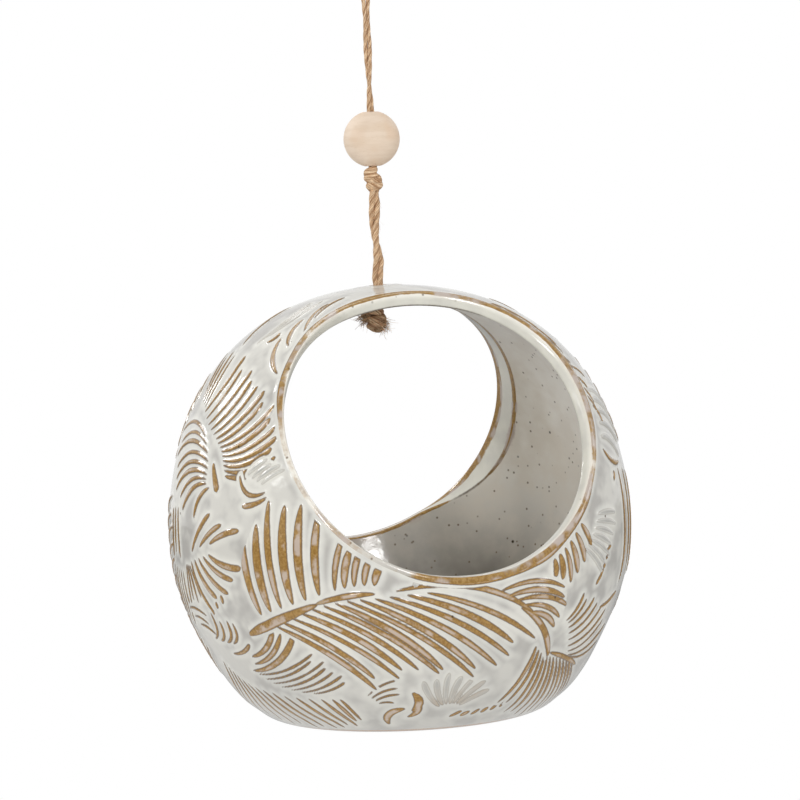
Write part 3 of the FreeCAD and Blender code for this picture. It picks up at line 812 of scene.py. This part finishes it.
rim_wave = 0.5 * np.sin(3 * turns) + 0.35 * np.sin(7 * turns + 1.0) + 0.3 * np.sin(13 * turns + 2.0)
broad = smooth(np.cos(turns - UPPER_RIGHT), 0.75, 0.95) + smooth(np.cos(turns - LOWER_RIGHT), 0.8, 0.95)
rim_band = RIM_ROUND - 0.2 - rim_gap + (0.9 * rim_wave + 1.2 * broad)[:, None]
stroke = np.maximum(stroke, rim_band)
bare = np.where(rim_band >= stroke, (0.7 + 0.3 * rim_wave + 0.3 * broad)[:, None], bare)
stroke = np.where(away_from_hole > 0.5, stroke, FAR)

# Pot: rims and inside

RIM_STEPS = 7
INNER_COLUMNS = 60
BACK_BEVEL, BACK_BEVEL_AT = 11.0, math.radians(28)
FRONT_BEVEL, FRONT_BEVEL_AT = 2.8, math.radians(188)


def bend(start, corner, end):
    """Points of a rounded corner: the quadratic curve from start to end that is drawn towards the corner."""
    way = np.linspace(0, 1, RIM_STEPS)[None, :, None]
    start, corner, end = (points[:, None, :] for points in (start, corner, end))
    return start * (1 - way) ** 2 + corner * 2 * way * (1 - way) + end * way**2


def rim_section(side, bevel):
    """Points across one rim from the skin's edge to the inside, and where the inside begins.

    The skin's edge bends round the outer corner into the face, which runs to the inner corner and bends into
    the inside. bevel moves the inner corner away from the opening.
    """
    edge = -1 if side > 0 else 0
    start = skin[:, edge]
    normal = plain_normal[:, edge]
    edge_lift = ((start - plain[:, edge]) * normal).sum(-1, keepdims=True)
    corner = surface(OUTER, turns, side * outer_limit) + normal * edge_lift
    inner_reach = edge_reach - WALL
    inner_tilt = inner_limit - bevel / inner_reach
    inner_corner = surface(INNER, turns, side * inner_tilt)
    inside_limit = inner_tilt - RIM_INNER_ROUND / inner_reach
    inside_start = surface(INNER, turns, side * inside_limit)
    face_unit = unit_vectors(inner_corner - corner)
    face_start = corner + face_unit * RIM_ROUND
    face_end = inner_corner - face_unit * RIM_INNER_ROUND
    way = np.linspace(0, 1, RIM_STEPS)[None, 1:-1, None]
    flat = face_start[:, None, :] * (1 - way) + face_end[:, None, :] * way
    section = [bend(start, corner, face_start), flat, bend(face_end, inner_corner, inside_start)]
    return np.concatenate(section, axis=1), inside_limit


right_and_up = smooth(np.cos(turns - BACK_BEVEL_AT), 0.1, 0.8)
leftward = smooth(np.cos(turns - FRONT_BEVEL_AT), 0.1, 0.8)
front_rim, front_limit = rim_section(-1, FRONT_BEVEL * leftward)
back_rim, back_limit = rim_section(1, BACK_BEVEL * right_and_up)
inside_share = np.linspace(0, 1, INNER_COLUMNS + 1)[None, 1:-1]
inside_tilt = -front_limit[:, None] * (1 - inside_share) + back_limit[:, None] * inside_share
hollow = surface(INNER, turns[:, None], inside_tilt)
inside = np.concatenate([front_rim, hollow, back_rim[:, ::-1]], axis=1)
padded = np.concatenate([skin[:, 1:2], inside, skin[:, -2:-1]], axis=1)
inside_normal = grid_normals(padded)[:, 1:-1]
if inside_normal[0, inside.shape[1] // 2] @ (MIDDLE - hollow[0, INNER_COLUMNS // 2]) < 0:
    inside_normal = -inside_normal

# The rims' colours: a pale face, brown along both its edges, and a dark line on the inner one

rim_columns = front_rim.shape[1]
column = np.arange(inside.shape[1])
behind = column > inside.shape[1] / 2
from_rim = np.minimum(column, inside.shape[1] - 1 - column)
inner_edge = rim_columns - 4
face_share = smooth(from_rim, 3.0, 6.0) * smooth(from_rim, inner_edge + 1.0, inner_edge - 1.5)
outer_brown = np.where(behind, smooth(from_rim, 8.5, 6.0), smooth(from_rim, 4.5, 2.5))
at_inner_edge = np.exp(-(((from_rim - inner_edge) / 2.6) ** 2))
at_top = smooth(np.sin(turns), 0.7, 0.95)
upper = smooth(np.sin(turns), -0.75, 0.0)
low = smooth(np.sin(turns), -0.55, -0.8)
back_line = np.maximum(0.35 + 1.15 * upper * right_and_up, 1.5 * low)
back_brown = np.outer(back_line, at_inner_edge * behind)
rim_brown = 0.75 + 0.25 * rim_wave + 0.3 * at_top
front_brown = np.outer(rim_brown * (1 - 0.3 * leftward), outer_brown) * (1 + 0.9 * behind)
edge_share = np.maximum(front_brown, back_brown)
dark_line = 0.35 + 0.4 * (1 - upper) * (1 - low) - 0.3 * low + 0.35 * at_top
dark_share = np.outer(dark_line, at_inner_edge)

# Pot: the cord hole, in place of a block of each grid

HOLE_ROWS, HOLE_COLUMNS, INNER_HOLE_COLUMNS = 10, 52, 9
COLLAR_STEPS, LIP_STEPS = 7, 6
LIP_GLAZED, LIP_BARE = -4.2, 0.8
BARE_FROM, BARE_TO = 6.6, 8.6


def block(points, row_middle, column_middle, half_columns):
    """The points round a block of a grid, in order, and the block's face numbers."""
    rows = np.arange(row_middle - HOLE_ROWS, row_middle + HOLE_ROWS + 1)
    columns = np.arange(column_middle - half_columns, column_middle + half_columns + 1)
    ring = np.concatenate(
        [
            points[rows[:-1], columns[0]],
            points[rows[-1], columns[:-1]],
            points[rows[:0:-1], columns[-1]],
            points[rows[0], columns[:0:-1]],
        ]
    )
    per_row = points.shape[1] - 1
    faces = (rows[:-1, None] * per_row + columns[None, :-1]).ravel()
    return ring, set(faces.tolist())


def crown_height(outline, plan):
    """Height of the crown over points of the ground plan."""
    top = outline[: len(outline) // 2]
    return np.interp(np.hypot(plan[..., 0], plan[..., 1]), top[:, 0], top[:, 1])


def hole_collar(outline, ring, downward):
    """From a ring on a surface to the cord hole: across the surface, round the lip and half down the hole."""
    plan = ring[:, :2] - HOLE_AT
    bearing = np.arctan2(plan[:, 1], plan[:, 0])
    heading = np.stack([np.cos(bearing), np.sin(bearing)], axis=-1)
    far = np.hypot(plan[:, 0], plan[:, 1])
    lip = HOLE_RADIUS + HOLE_LIP
    columns = [ring]
    for share in np.linspace(0, 1, COLLAR_STEPS + 1)[1:]:
        spot = HOLE_AT + heading * (far * (1 - share) + lip * share)[:, None]
        columns.append(np.concatenate([spot, crown_height(outline, spot)[:, None]], axis=-1))
    lip_height = columns[-1][:, 2]
    for angle in np.linspace(0, math.pi / 2, LIP_STEPS + 1)[1:]:
        spot = HOLE_AT + heading * (lip - HOLE_LIP * math.sin(angle))
        height = lip_height - downward * HOLE_LIP * (1 - math.cos(angle))
        columns.append(np.concatenate([spot, height[:, None]], axis=-1))
    middle = np.full(len(ring), crown_height(OUTER, HOLE_AT) - WALL / 2)
    columns.append(np.concatenate([columns[-1][:, :2], middle[:, None]], axis=-1))
    return np.stack(columns, axis=1)


hole_gap = np.abs(np.cos(turns) * (CROWN_HEIGHT - MIDDLE[2]) - HOLE_AT[0])
hole_row = int(np.argmin(np.where(np.sin(turns) < 0, BALL_RADIUS, hole_gap)))
outer_ring, outer_block = block(skin, hole_row, COLUMNS // 2, HOLE_COLUMNS)
inner_middle = rim_columns - 1 + INNER_COLUMNS // 2
inner_ring, inner_block = block(inside, hole_row, inner_middle, INNER_HOLE_COLUMNS)

# Pot: its pieces

skin_flip = flipped(skin, skin_normal[0, 0])
rows_each = ROWS // SECTORS
for sector in range(SECTORS):
    rows = np.arange(sector * rows_each, (sector + 1) * rows_each + 1)
    wanted = rows % ROWS
    first = rows[0] * COLUMNS
    faces = grid_faces(len(rows), COLUMNS + 1)
    faces = [face for number, face in enumerate(faces) if number + first not in outer_block]
    faces = outward(faces, skin_flip)
    values = {"stroke": stroke[wanted], "bare": bare[wanted]}
    points = skin[wanted] + POT_CENTRE
    piece = link_mesh(f"pot_skin_{sector + 1}", points, faces, values, OUTSIDE, skin_normal[wanted])
    attach(piece, "pot", "pot" if sector == 0 else None)

faces = grid_faces(ROWS, inside.shape[1], True)
faces = [face for number, face in enumerate(faces) if number not in inner_block]
faces = outward(faces, flipped(inside, inside_normal[0, 0]))
values = {"face": np.broadcast_to(face_share, inside.shape[:2]), "edge": edge_share, "dark": dark_share}
piece = link_mesh("pot_inside", inside + POT_CENTRE, faces, values, INSIDE, inside_normal)
attach(piece, "pot")

for name, outline, ring, downward, material in (
    ("pot_hole_outer", OUTER, outer_ring, 1, OUTSIDE),
    ("pot_hole_inner", INNER, inner_ring, -1, INSIDE),
):
    collar = hole_collar(outline, ring, downward)
    count = collar.shape[1]
    normal = grid_normals(collar)
    up = np.array([0, 0, float(downward)])
    if normal[0, 1] @ up < 0:
        normal = -normal
    faces = outward(grid_faces(len(collar), count, True), flipped(collar, up))
    brown = np.broadcast_to(smooth(np.arange(count), BARE_FROM, BARE_TO), collar.shape[:2])
    depth = LIP_GLAZED + brown * (LIP_BARE - LIP_GLAZED)
    values = {"stroke": depth, "bare": brown, "face": brown * 0, "edge": brown, "dark": brown * 0}
    attach(link_mesh(name, collar + POT_CENTRE, faces, values, material, normal), "pot")

# Bead

BEAD_SIDES = 128
BEAD_CLEARANCE, BEAD_EDGE = 0.75, 0.3


def make_bead():
    """Turned bead: a ball cut flat at its ends, with rounded bore edges, spun about the cord."""
    radius = (bead_high.x - bead_low.x) / 2
    half = (bead_high.z - bead_low.z) / 2
    bore = PAIR / 2 + BEAD_CLEARANCE
    cut = math.degrees(math.asin(half / radius))
    ball = arc(0, 0, radius, -cut, cut, 65)
    top = arc(bore + BEAD_EDGE, half - BEAD_EDGE, BEAD_EDGE, 90, 180, 6)
    bottom = arc(bore + BEAD_EDGE, BEAD_EDGE - half, BEAD_EDGE, 180, 270, 6)
    reach, height = np.concatenate([ball, top, bottom]).T
    angle = np.arange(BEAD_SIDES) / BEAD_SIDES * 2 * math.pi
    level = np.broadcast_to(height + (bead_low.z + bead_high.z) / 2, (BEAD_SIDES, len(height)))
    points = np.stack([np.outer(np.cos(angle), reach), np.outer(np.sin(angle), reach), level], axis=-1)
    faces = grid_faces(BEAD_SIDES, len(height), True, True)
    return link_mesh("wooden_bead", points, outward(faces, True), {}, WOOD)


attach(make_bead(), "bead", "bead")

# Cord strands

PLIES = 2
PLY_PITCH, PLY_DEPTH = 9.0, 0.07
STRAND_SIDES = 20
LINE_STEP = 0.3
NOT_ALONG = (0.3, 1.0, 0.2)


def spline_points(name, route):
    """Points along the smooth NURBS curve whose control points are the route's."""
    curve = bpy.data.curves.new(name, "CURVE")
    curve.dimensions = "3D"
    curve.resolution_u = 24
    spline = curve.splines.new("NURBS")
    spline.points.add(len(route) - 1)
    for point, place in zip(spline.points, route):
        point.co = (*place, 1.0)
    spline.use_endpoint_u = True
    spline.order_u = 3
    holder = bpy.data.objects.new(name, curve)
    mesh = bpy.data.meshes.new_from_object(holder)
    points = np.array([vertex.co for vertex in mesh.vertices])
    bpy.data.objects.remove(holder)
    bpy.data.curves.remove(curve)
    bpy.data.meshes.remove(mesh)
    return points


def even(points, step):
    """The same line with its points at equal distances."""
    way = way_along(points)
    wanted = np.linspace(0, way[-1], max(int(way[-1] / step), 2) + 1)
    return np.stack([np.interp(wanted, way, points[:, axis]) for axis in range(3)], axis=-1)


def path_frames(path):
    """Two unit vectors across a path at each point, carried along it with as little turning as can be."""
    ahead = unit_vectors(np.gradient(path, axis=0))
    across = [unit_vectors(np.cross(ahead[0], NOT_ALONG))]
    for direction in ahead[1:]:
        across.append(unit_vectors(across[-1] - direction * (across[-1] @ direction)))
    across = np.array(across)
    return across, np.cross(ahead, across)


def strand(path, diameter, start_turn=0.0):
    """Rings of a twisted strand about a path, with the way along it and round it, and how far into a ply's
    hollow a point lies, for painted shade.

    The radius is that of two plies twisted together: r (1 - d + d cos(2 (a - 2 pi s / p))) at angle a and
    way s, with a slow unevenness along the way.
    """
    across, over = path_frames(path)
    way = way_along(path)[:, None]
    angle = (np.arange(STRAND_SIDES) / STRAND_SIDES * 2 * math.pi)[None, :]
    ply = angle - 2 * math.pi * way / PLY_PITCH + start_turn
    uneven = 1 + 0.05 * np.sin(way / 3.1 + start_turn) + 0.04 * np.sin(way / 1.3 + 2 * start_turn)
    radius = diameter / 2 * uneven * (1 - PLY_DEPTH + PLY_DEPTH * np.cos(PLIES * ply))
    ring = across[:, None, :] * np.cos(angle)[..., None] + over[:, None, :] * np.sin(angle)[..., None]
    points = path[:, None, :] + ring * radius[..., None]
    values = {
        "along": np.broadcast_to(way, radius.shape),
        "around": np.broadcast_to(ply, radius.shape),
        "painted_groove_shade": smooth(np.cos(PLIES * ply), -0.3, -1.0),
    }
    return points, values


def strands_mesh(name, made, material):
    """One mesh of several strands, each closed at its ends."""
    points, faces, values, start = [], [], {}, 0
    for grid, numbers in made:
        rows, sides = grid.shape[:2]
        faces += grid_faces(rows, sides, False, True, start)
        faces.append([start + side for side in range(sides - 1, -1, -1)])
        faces.append([start + (rows - 1) * sides + side for side in range(sides)])
        points.append(grid.reshape(-1, 3))
        for label, field in numbers.items():
            values.setdefault(label, []).append(field.ravel())
        start += rows * sides
    values = {label: np.concatenate(fields) for label, fields in values.items()}
    return link_mesh(name, np.concatenate(points), faces, values, material)


# Cord: the hanging loop

LEG = SPACING / 2
LOOP_ROUTE = [
    (-LEG, 0.0, knot_high.z - 0.4),
    (-LEG, 0.0, -72.0),
    (-0.9, -0.2, -62.0),
    (-0.5, -0.7, -52.0),
    (0.35, -0.8, -44.0),
    (0.75, -0.35, -35.0),
    (0.55, 0.45, -27.0),
    (1.0, 0.2, -17.0),
    (2.0, 0.0, -10.0),
    (3.3, 0.0, -4.5),
    (3.6, 0.0, 0.0),
    (0.0, 0.0, 1.35),
    (-3.6, 0.0, 0.0),
    (-3.3, 0.0, -4.5),
    (-2.0, 0.0, -10.0),
    (-1.0, -0.2, -17.0),
    (-0.55, -0.45, -27.0),
    (-0.75, 0.35, -35.0),
    (-0.35, 0.8, -44.0),
    (0.5, 0.7, -52.0),
    (0.9, 0.2, -62.0),
    (LEG, 0.0, -72.0),
    (LEG, 0.0, knot_high.z - 0.4),
]
loop_line = even(spline_points("loop_route", LOOP_ROUTE), LINE_STEP)
loop = strands_mesh("hanging_loop_strand", [strand(loop_line, STRAND)], JUTE)
attach(loop, "cord", "hanging_loop")

# Cord: from the bead's knot to the stopper knot

CORD_ROUTE = [
    (0.0, 0.0, knot_low.z + 2.0),
    (0.1, 0.0, -92.0),
    (-0.5, 0.1, -100.0),
    (0.1, 0.1, -106.0),
    (0.7, 0.0, -111.5),
    (0.0, 0.0, -116.5),
    (0.0, 0.0, HOLE_Z),
    (0.0, 0.0, stopper_high.z - 7.0),
]
CORD_STRAND, CORD_SPACING = 2.2, 1.9
CORD_TWIST, CORD_START = 44.0, 1.9
cord_line = even(spline_points("cord_route", CORD_ROUTE), LINE_STEP)


def paired(line, spacing, twist, start):
    """Two lines wound about one, half a turn apart, once in every twist length."""
    across, over = path_frames(line)
    angle = 2 * math.pi * way_along(line) / twist + start
    out = across * np.cos(angle)[:, None] + over * np.sin(angle)[:, None]
    return line + out * spacing / 2, line - out * spacing / 2


cord_pair = paired(cord_line, CORD_SPACING, CORD_TWIST, CORD_START)
cord_strands = [strand(line, CORD_STRAND, turn) for turn, line in enumerate(cord_pair)]
cord = strands_mesh("lower_cord_strands", cord_strands, JUTE)
(HOLE_Z + 4) * MM
(HOLE_Z - 4) * MM
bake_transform(cord)
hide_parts("lower_cord")

# Knots

WOUND_STEPS, WOUND_CORE, KNOT_STEP = 160, 0.4, 0.25
KNOT_STRAND, STOPPER_STRAND = 3.3, 2.8
WRAP_TOP = HOLE_Z - WALL - 0.7
STOPPER_ASIDE = np.array([-1.5, 0.0, 0.0])


def wound(radius, turns_round, low, high, leans, start, drift):
    """A line wound about the cord from low to high, with its ends tucked in.

    It is higher on its right by a lean that goes from the first to the second of two, in degrees.
    """
    way = np.linspace(0, 1, WOUND_STEPS)
    angle = start + way * turns_round * 2 * math.pi
    tuck = smooth(way, 0.0, 0.1) * smooth(way, 1.0, 0.9)
    reach = WOUND_CORE + (radius - WOUND_CORE) * tuck
    lean = np.radians(leans[0] + (leans[1] - leans[0]) * smooth(way, 0.3, 0.8))
    height = low + (high - low) * smooth(way, 0.05, 0.95) + reach * np.cos(angle) * np.tan(lean)
    aside = drift * (0.5 - way)
    return np.stack([reach * np.cos(angle) + aside, reach * np.sin(angle), height], axis=-1)


def make_knot(name, line, thick, apart, material):
    """A knot of a doubled strand: two strands along its line, apart in height by a share of their width."""
    line = even(line, KNOT_STEP)
    offset = np.array([0, 0, thick * apart / 2])
    lines = (line - offset, line + offset)
    return strands_mesh(name, [strand(one, thick, turn * 1.3) for turn, one in enumerate(lines)], material)


bead_knot_line = wound(
    radius=1.6,
    turns_round=1.75,
    low=knot_low.z + 1.8,
    high=knot_high.z - 2.1,
    leans=(-32.0, 20.0),
    start=1.05,
    drift=1.6,
)
bead_knot = make_knot("bead_knot_strands", bead_knot_line, KNOT_STRAND, 0.5, JUTE)
attach(bead_knot, "cord", "bead_knot")

stopper_line = STOPPER_ASIDE + wound(
    radius=2.5,
    turns_round=2.1,
    low=stopper_low.z + 0.2,
    high=WRAP_TOP - 2.2,
    leans=(-16.0, -16.0),
    start=0.4,
    drift=1.6,
)
stopper = make_knot("stopper_strands", stopper_line, STOPPER_STRAND, 0.72, KNOT_JUTE_PAINTED_LIGHT)
attach(stopper, "stopper", "stopper_knot")

# Frayed ends and loose fibres

HAIR_STEPS, HAIR_SIDES = 6, 3
HAIR_WAVE, HAIR_TAPER = 0.12, 0.75
FRAYED_COUNT, FRAYED_LENGTH, FRAYED_SPREAD, FRAYED_CURL = 300, 5.5, 0.3, 0.6
ROOT_REACH, ROOT_SPREAD = 2.2, 0.8
FRAYED_RADIUS, LOOSE_RADIUS, LOOSE_CURL = 0.14, 0.035, 0.5
BEAD_TRAVEL = 35.0


def hairs(name, roots, headings, lengths, radius, material, curl):
    """Thin tapered fibres from roots along headings, each bent to one side."""
    count = len(roots)
    way = np.linspace(0, 1, HAIR_STEPS)
    side = unit_vectors(np.cross(headings, rng.normal(size=(count, 3))))
    over = np.cross(headings, side)
    bent = curl * rng.uniform(-1, 1, (count, 1, 1)) * way[None, :, None] ** 2
    wave = HAIR_WAVE * np.sin(way[None, :, None] * rng.uniform(3, 8, (count, 1, 1)))
    line = headings[:, None, :] * way[None, :, None] + side[:, None, :] * bent + over[:, None, :] * wave
    line = roots[:, None, :] + line * lengths[:, None, None]
    angle = np.arange(HAIR_SIDES) / HAIR_SIDES * 2 * math.pi
    ring = side[:, None, None, :] * np.cos(angle)[:, None] + over[:, None, None, :] * np.sin(angle)[:, None]
    points = line[:, :, None, :] + ring * radius * (1 - HAIR_TAPER * way)[None, :, None, None]
    shape = points.shape[1:3]
    made = []
    for grid, around in zip(points, rng.uniform(0, 9, count)):
        along = np.broadcast_to((way * 6)[:, None], shape)
        made.append((grid, {"along": along, "around": np.full(shape, around), "painted_groove_shade": np.zeros(shape)}))
    return strands_mesh(name, made, material)


def around_path(path, count, radius):
    """Roots on a tube about a path and headings that lean out and along, for loose fibres."""
    spot = rng.integers(2, len(path) - 2, count)
    angle = rng.uniform(0, 2 * math.pi, count)
    across, over = path_frames(path)
    out = across[spot] * np.cos(angle)[:, None] + over[spot] * np.sin(angle)[:, None]
    ahead = unit_vectors(path[spot + 1] - path[spot - 1])
    heading = out * rng.uniform(0.15, 0.8, (count, 1)) + ahead * rng.choice([-1, 1], (count, 1))
    return path[spot] + out * radius * 0.9, unit_vectors(heading)


def tuft(name, node, heading, height):
    """A frayed end: fibres that leave the knot's underside together and open out."""
    heading = unit_vectors(np.array(heading))
    root = np.array([*(heading[:2] * ROOT_REACH), stopper_low.z + height]) + STOPPER_ASIDE
    headings = unit_vectors(heading + rng.normal(size=(FRAYED_COUNT, 3)) * FRAYED_SPREAD)
    roots = root + rng.normal(size=(FRAYED_COUNT, 3)) * ROOT_SPREAD
    lengths = rng.uniform(0.3, 1.0, FRAYED_COUNT) ** 1.5 * FRAYED_LENGTH
    piece = hairs(name, roots, headings, lengths, FRAYED_RADIUS, KNOT_JUTE_PAINTED_LIGHT, FRAYED_CURL)
    attach(piece, "stopper", node)


def loose_fibres(name, path, body, material, count, radius, longest):
    """Loose fibres about a strand."""
    roots, headings = around_path(path, count, radius)
    lengths = rng.uniform(0.3, 1.0, count) * longest
    piece = hairs(name, roots, headings, lengths, LOOSE_RADIUS, material, LOOSE_CURL)
    attach(piece, body)


tuft("frayed_end_left", "cut_end_left", heading=(-0.8, 0.2, -0.45), height=4.2)
tuft("frayed_end_right", "cut_end_right", heading=(0.5, -0.37, -0.79), height=2.4)
above_bead = loop_line[loop_line[:, 2] > bead_high.z + BEAD_TRAVEL + 3.0]
above_hole = cord_line[cord_line[:, 2] > HOLE_Z + 5.0]
loose_fibres("upper_fibres", above_bead, "cord", JUTE, count=40, radius=0.75, longest=2.5)
loose_fibres("lower_fibres", above_hole, "cord", JUTE, count=70, radius=1.4, longest=3.2)
loose_fibres("stopper_fibres", stopper_line, "stopper", KNOT_JUTE_PAINTED_LIGHT, count=110, radius=1.4, longest=2.0)
loose_fibres("bead_knot_fibres", bead_knot_line, "cord", JUTE, count=50, radius=1.4, longest=1.6)

# Stage, light and camera

FLOOR_REACH, FLOOR_BELOW = 6.0, 0.35
AZIMUTH, ELEVATION, ROLL = math.radians(16.5), math.radians(5.3), math.radians(2.5)
DISTANCE, FOCAL_PIXELS, IMAGE_SIZE = 1.2375, 3458.0, 800.0
CENTRE_SEEN_AT = (399.9, 520.7)
SENSOR = 36.0


def white_to_camera(material, shade):
    """A plain pale surface that the camera sees as white."""
    tree = material.node_tree
    field = Field(tree)
    output = next(node for node in tree.nodes if node.type == "OUTPUT_MATERIAL")
    pale = field.node("ShaderNodeBsdfDiffuse", inputs={"Color": shade})
    glow = field.node("ShaderNodeEmission", inputs={"Color": (1, 1, 1, 1), "Strength": 1.0})
    seen = field.node("ShaderNodeLightPath", output="Is Camera Ray")
    both = field.node("ShaderNodeMixShader", inputs={0: seen, 1: pale, 2: glow})
    tree.links.new(both.socket, output.inputs["Surface"])


def make_floor():
    """A wide pale floor below the hanging pot."""
    height = BASE_Z * MM - FLOOR_BELOW
    corners = [(x * FLOOR_REACH, y * FLOOR_REACH, height) for x, y in ((-1, -1), (1, -1), (1, 1), (-1, 1))]
    mesh = bpy.data.meshes.new("floor")
    mesh.from_pydata(corners, [], [(0, 1, 2, 3)])
    material = bpy.data.materials.new("pale_floor")
    material.use_nodes = True
    white_to_camera(material, colour(240, 240, 240))
    mesh.materials.append(material)
    floor = bpy.data.objects.new("floor", mesh)
    bpy.context.scene.collection.objects.link(floor)


def make_world():
    """Soft light from all round, and white to the camera."""
    world = bpy.data.worlds.new("studio")
    bpy.context.scene.world = world
    world.use_nodes = True
    tree = world.node_tree
    field = Field(tree)
    seen = field.node("ShaderNodeLightPath", output="Is Camera Ray")
    mirrored = field.node("ShaderNodeLightPath", output="Is Glossy Ray")
    strength = 0.35 + seen * 0.65 + mirrored * 0.55
    ground = tree.nodes["Background"]
    ground.inputs["Color"].default_value = (1, 1, 1, 1)
    field.set(ground.inputs["Strength"], strength)


def add_light(name, place, wide, tall, power):
    """A soft box that faces the middle of the pot."""
    light = bpy.data.lights.new(name, "AREA")
    light.shape = "RECTANGLE"
    light.size, light.size_y = wide, tall
    light.energy = power
    made = bpy.data.objects.new(name, light)
    bpy.context.scene.collection.objects.link(made)
    target = Vector(POT_CENTRE * MM)
    spot = target + Vector(place)
    made.location = spot
    made.rotation_euler = (target - spot).to_track_quat("-Z", "Y").to_euler()


def make_camera():
    """The photograph's camera: where it stands, turned so that the ball's centre falls where it is seen."""
    flat = math.cos(ELEVATION)
    look = Vector((math.sin(AZIMUTH) * flat, math.cos(AZIMUTH) * flat, -math.sin(ELEVATION)))
    level = Vector((math.cos(AZIMUTH), -math.sin(AZIMUTH), 0.0))
    fall = look.cross(level)
    right = level * math.cos(ROLL) + fall * math.sin(ROLL)
    down = fall * math.cos(ROLL) - level * math.sin(ROLL)
    aside = (CENTRE_SEEN_AT[0] - IMAGE_SIZE / 2) / FOCAL_PIXELS
    below = (CENTRE_SEEN_AT[1] - IMAGE_SIZE / 2) / FOCAL_PIXELS
    ahead = (look - right * aside - down * below).normalized()
    right = (right - ahead * right.dot(ahead)).normalized()
    up = right.cross(ahead)
    camera = bpy.data.cameras.new("camera")
    camera.sensor_width = SENSOR
    camera.lens = FOCAL_PIXELS / IMAGE_SIZE * SENSOR
    made = bpy.data.objects.new("camera", camera)
    bpy.context.scene.collection.objects.link(made)
    turned = Matrix((right, up, -ahead)).transposed().to_4x4()
    made.matrix_world = Matrix.Translation(Vector(POT_CENTRE * MM) - look * DISTANCE) @ turned
    bpy.context.scene.camera = made


make_floor()
make_world()
add_light("left_box", (-1.5, -0.22, 0.58), wide=0.22, tall=0.36, power=1.4)
add_light("key_box", (0.0, -1.4, 0.5), wide=0.2, tall=0.3, power=5.7)
add_light("side_box", (-1.0, -1.1, 0.4), wide=0.2, tall=0.3, power=4.8)
add_light("back_box", (-1.0, 1.0, 0.8), wide=0.4, tall=0.4, power=7.5)
add_light("right_box", (1.4, -0.5, 0.6), wide=0.3, tall=0.9, power=4.0)
add_light("top_box", (0.1, 0.4, 1.5), wide=0.7, tall=0.7, power=6.0)
make_camera()
bpy.context.scene.view_settings.view_transform = "Standard"
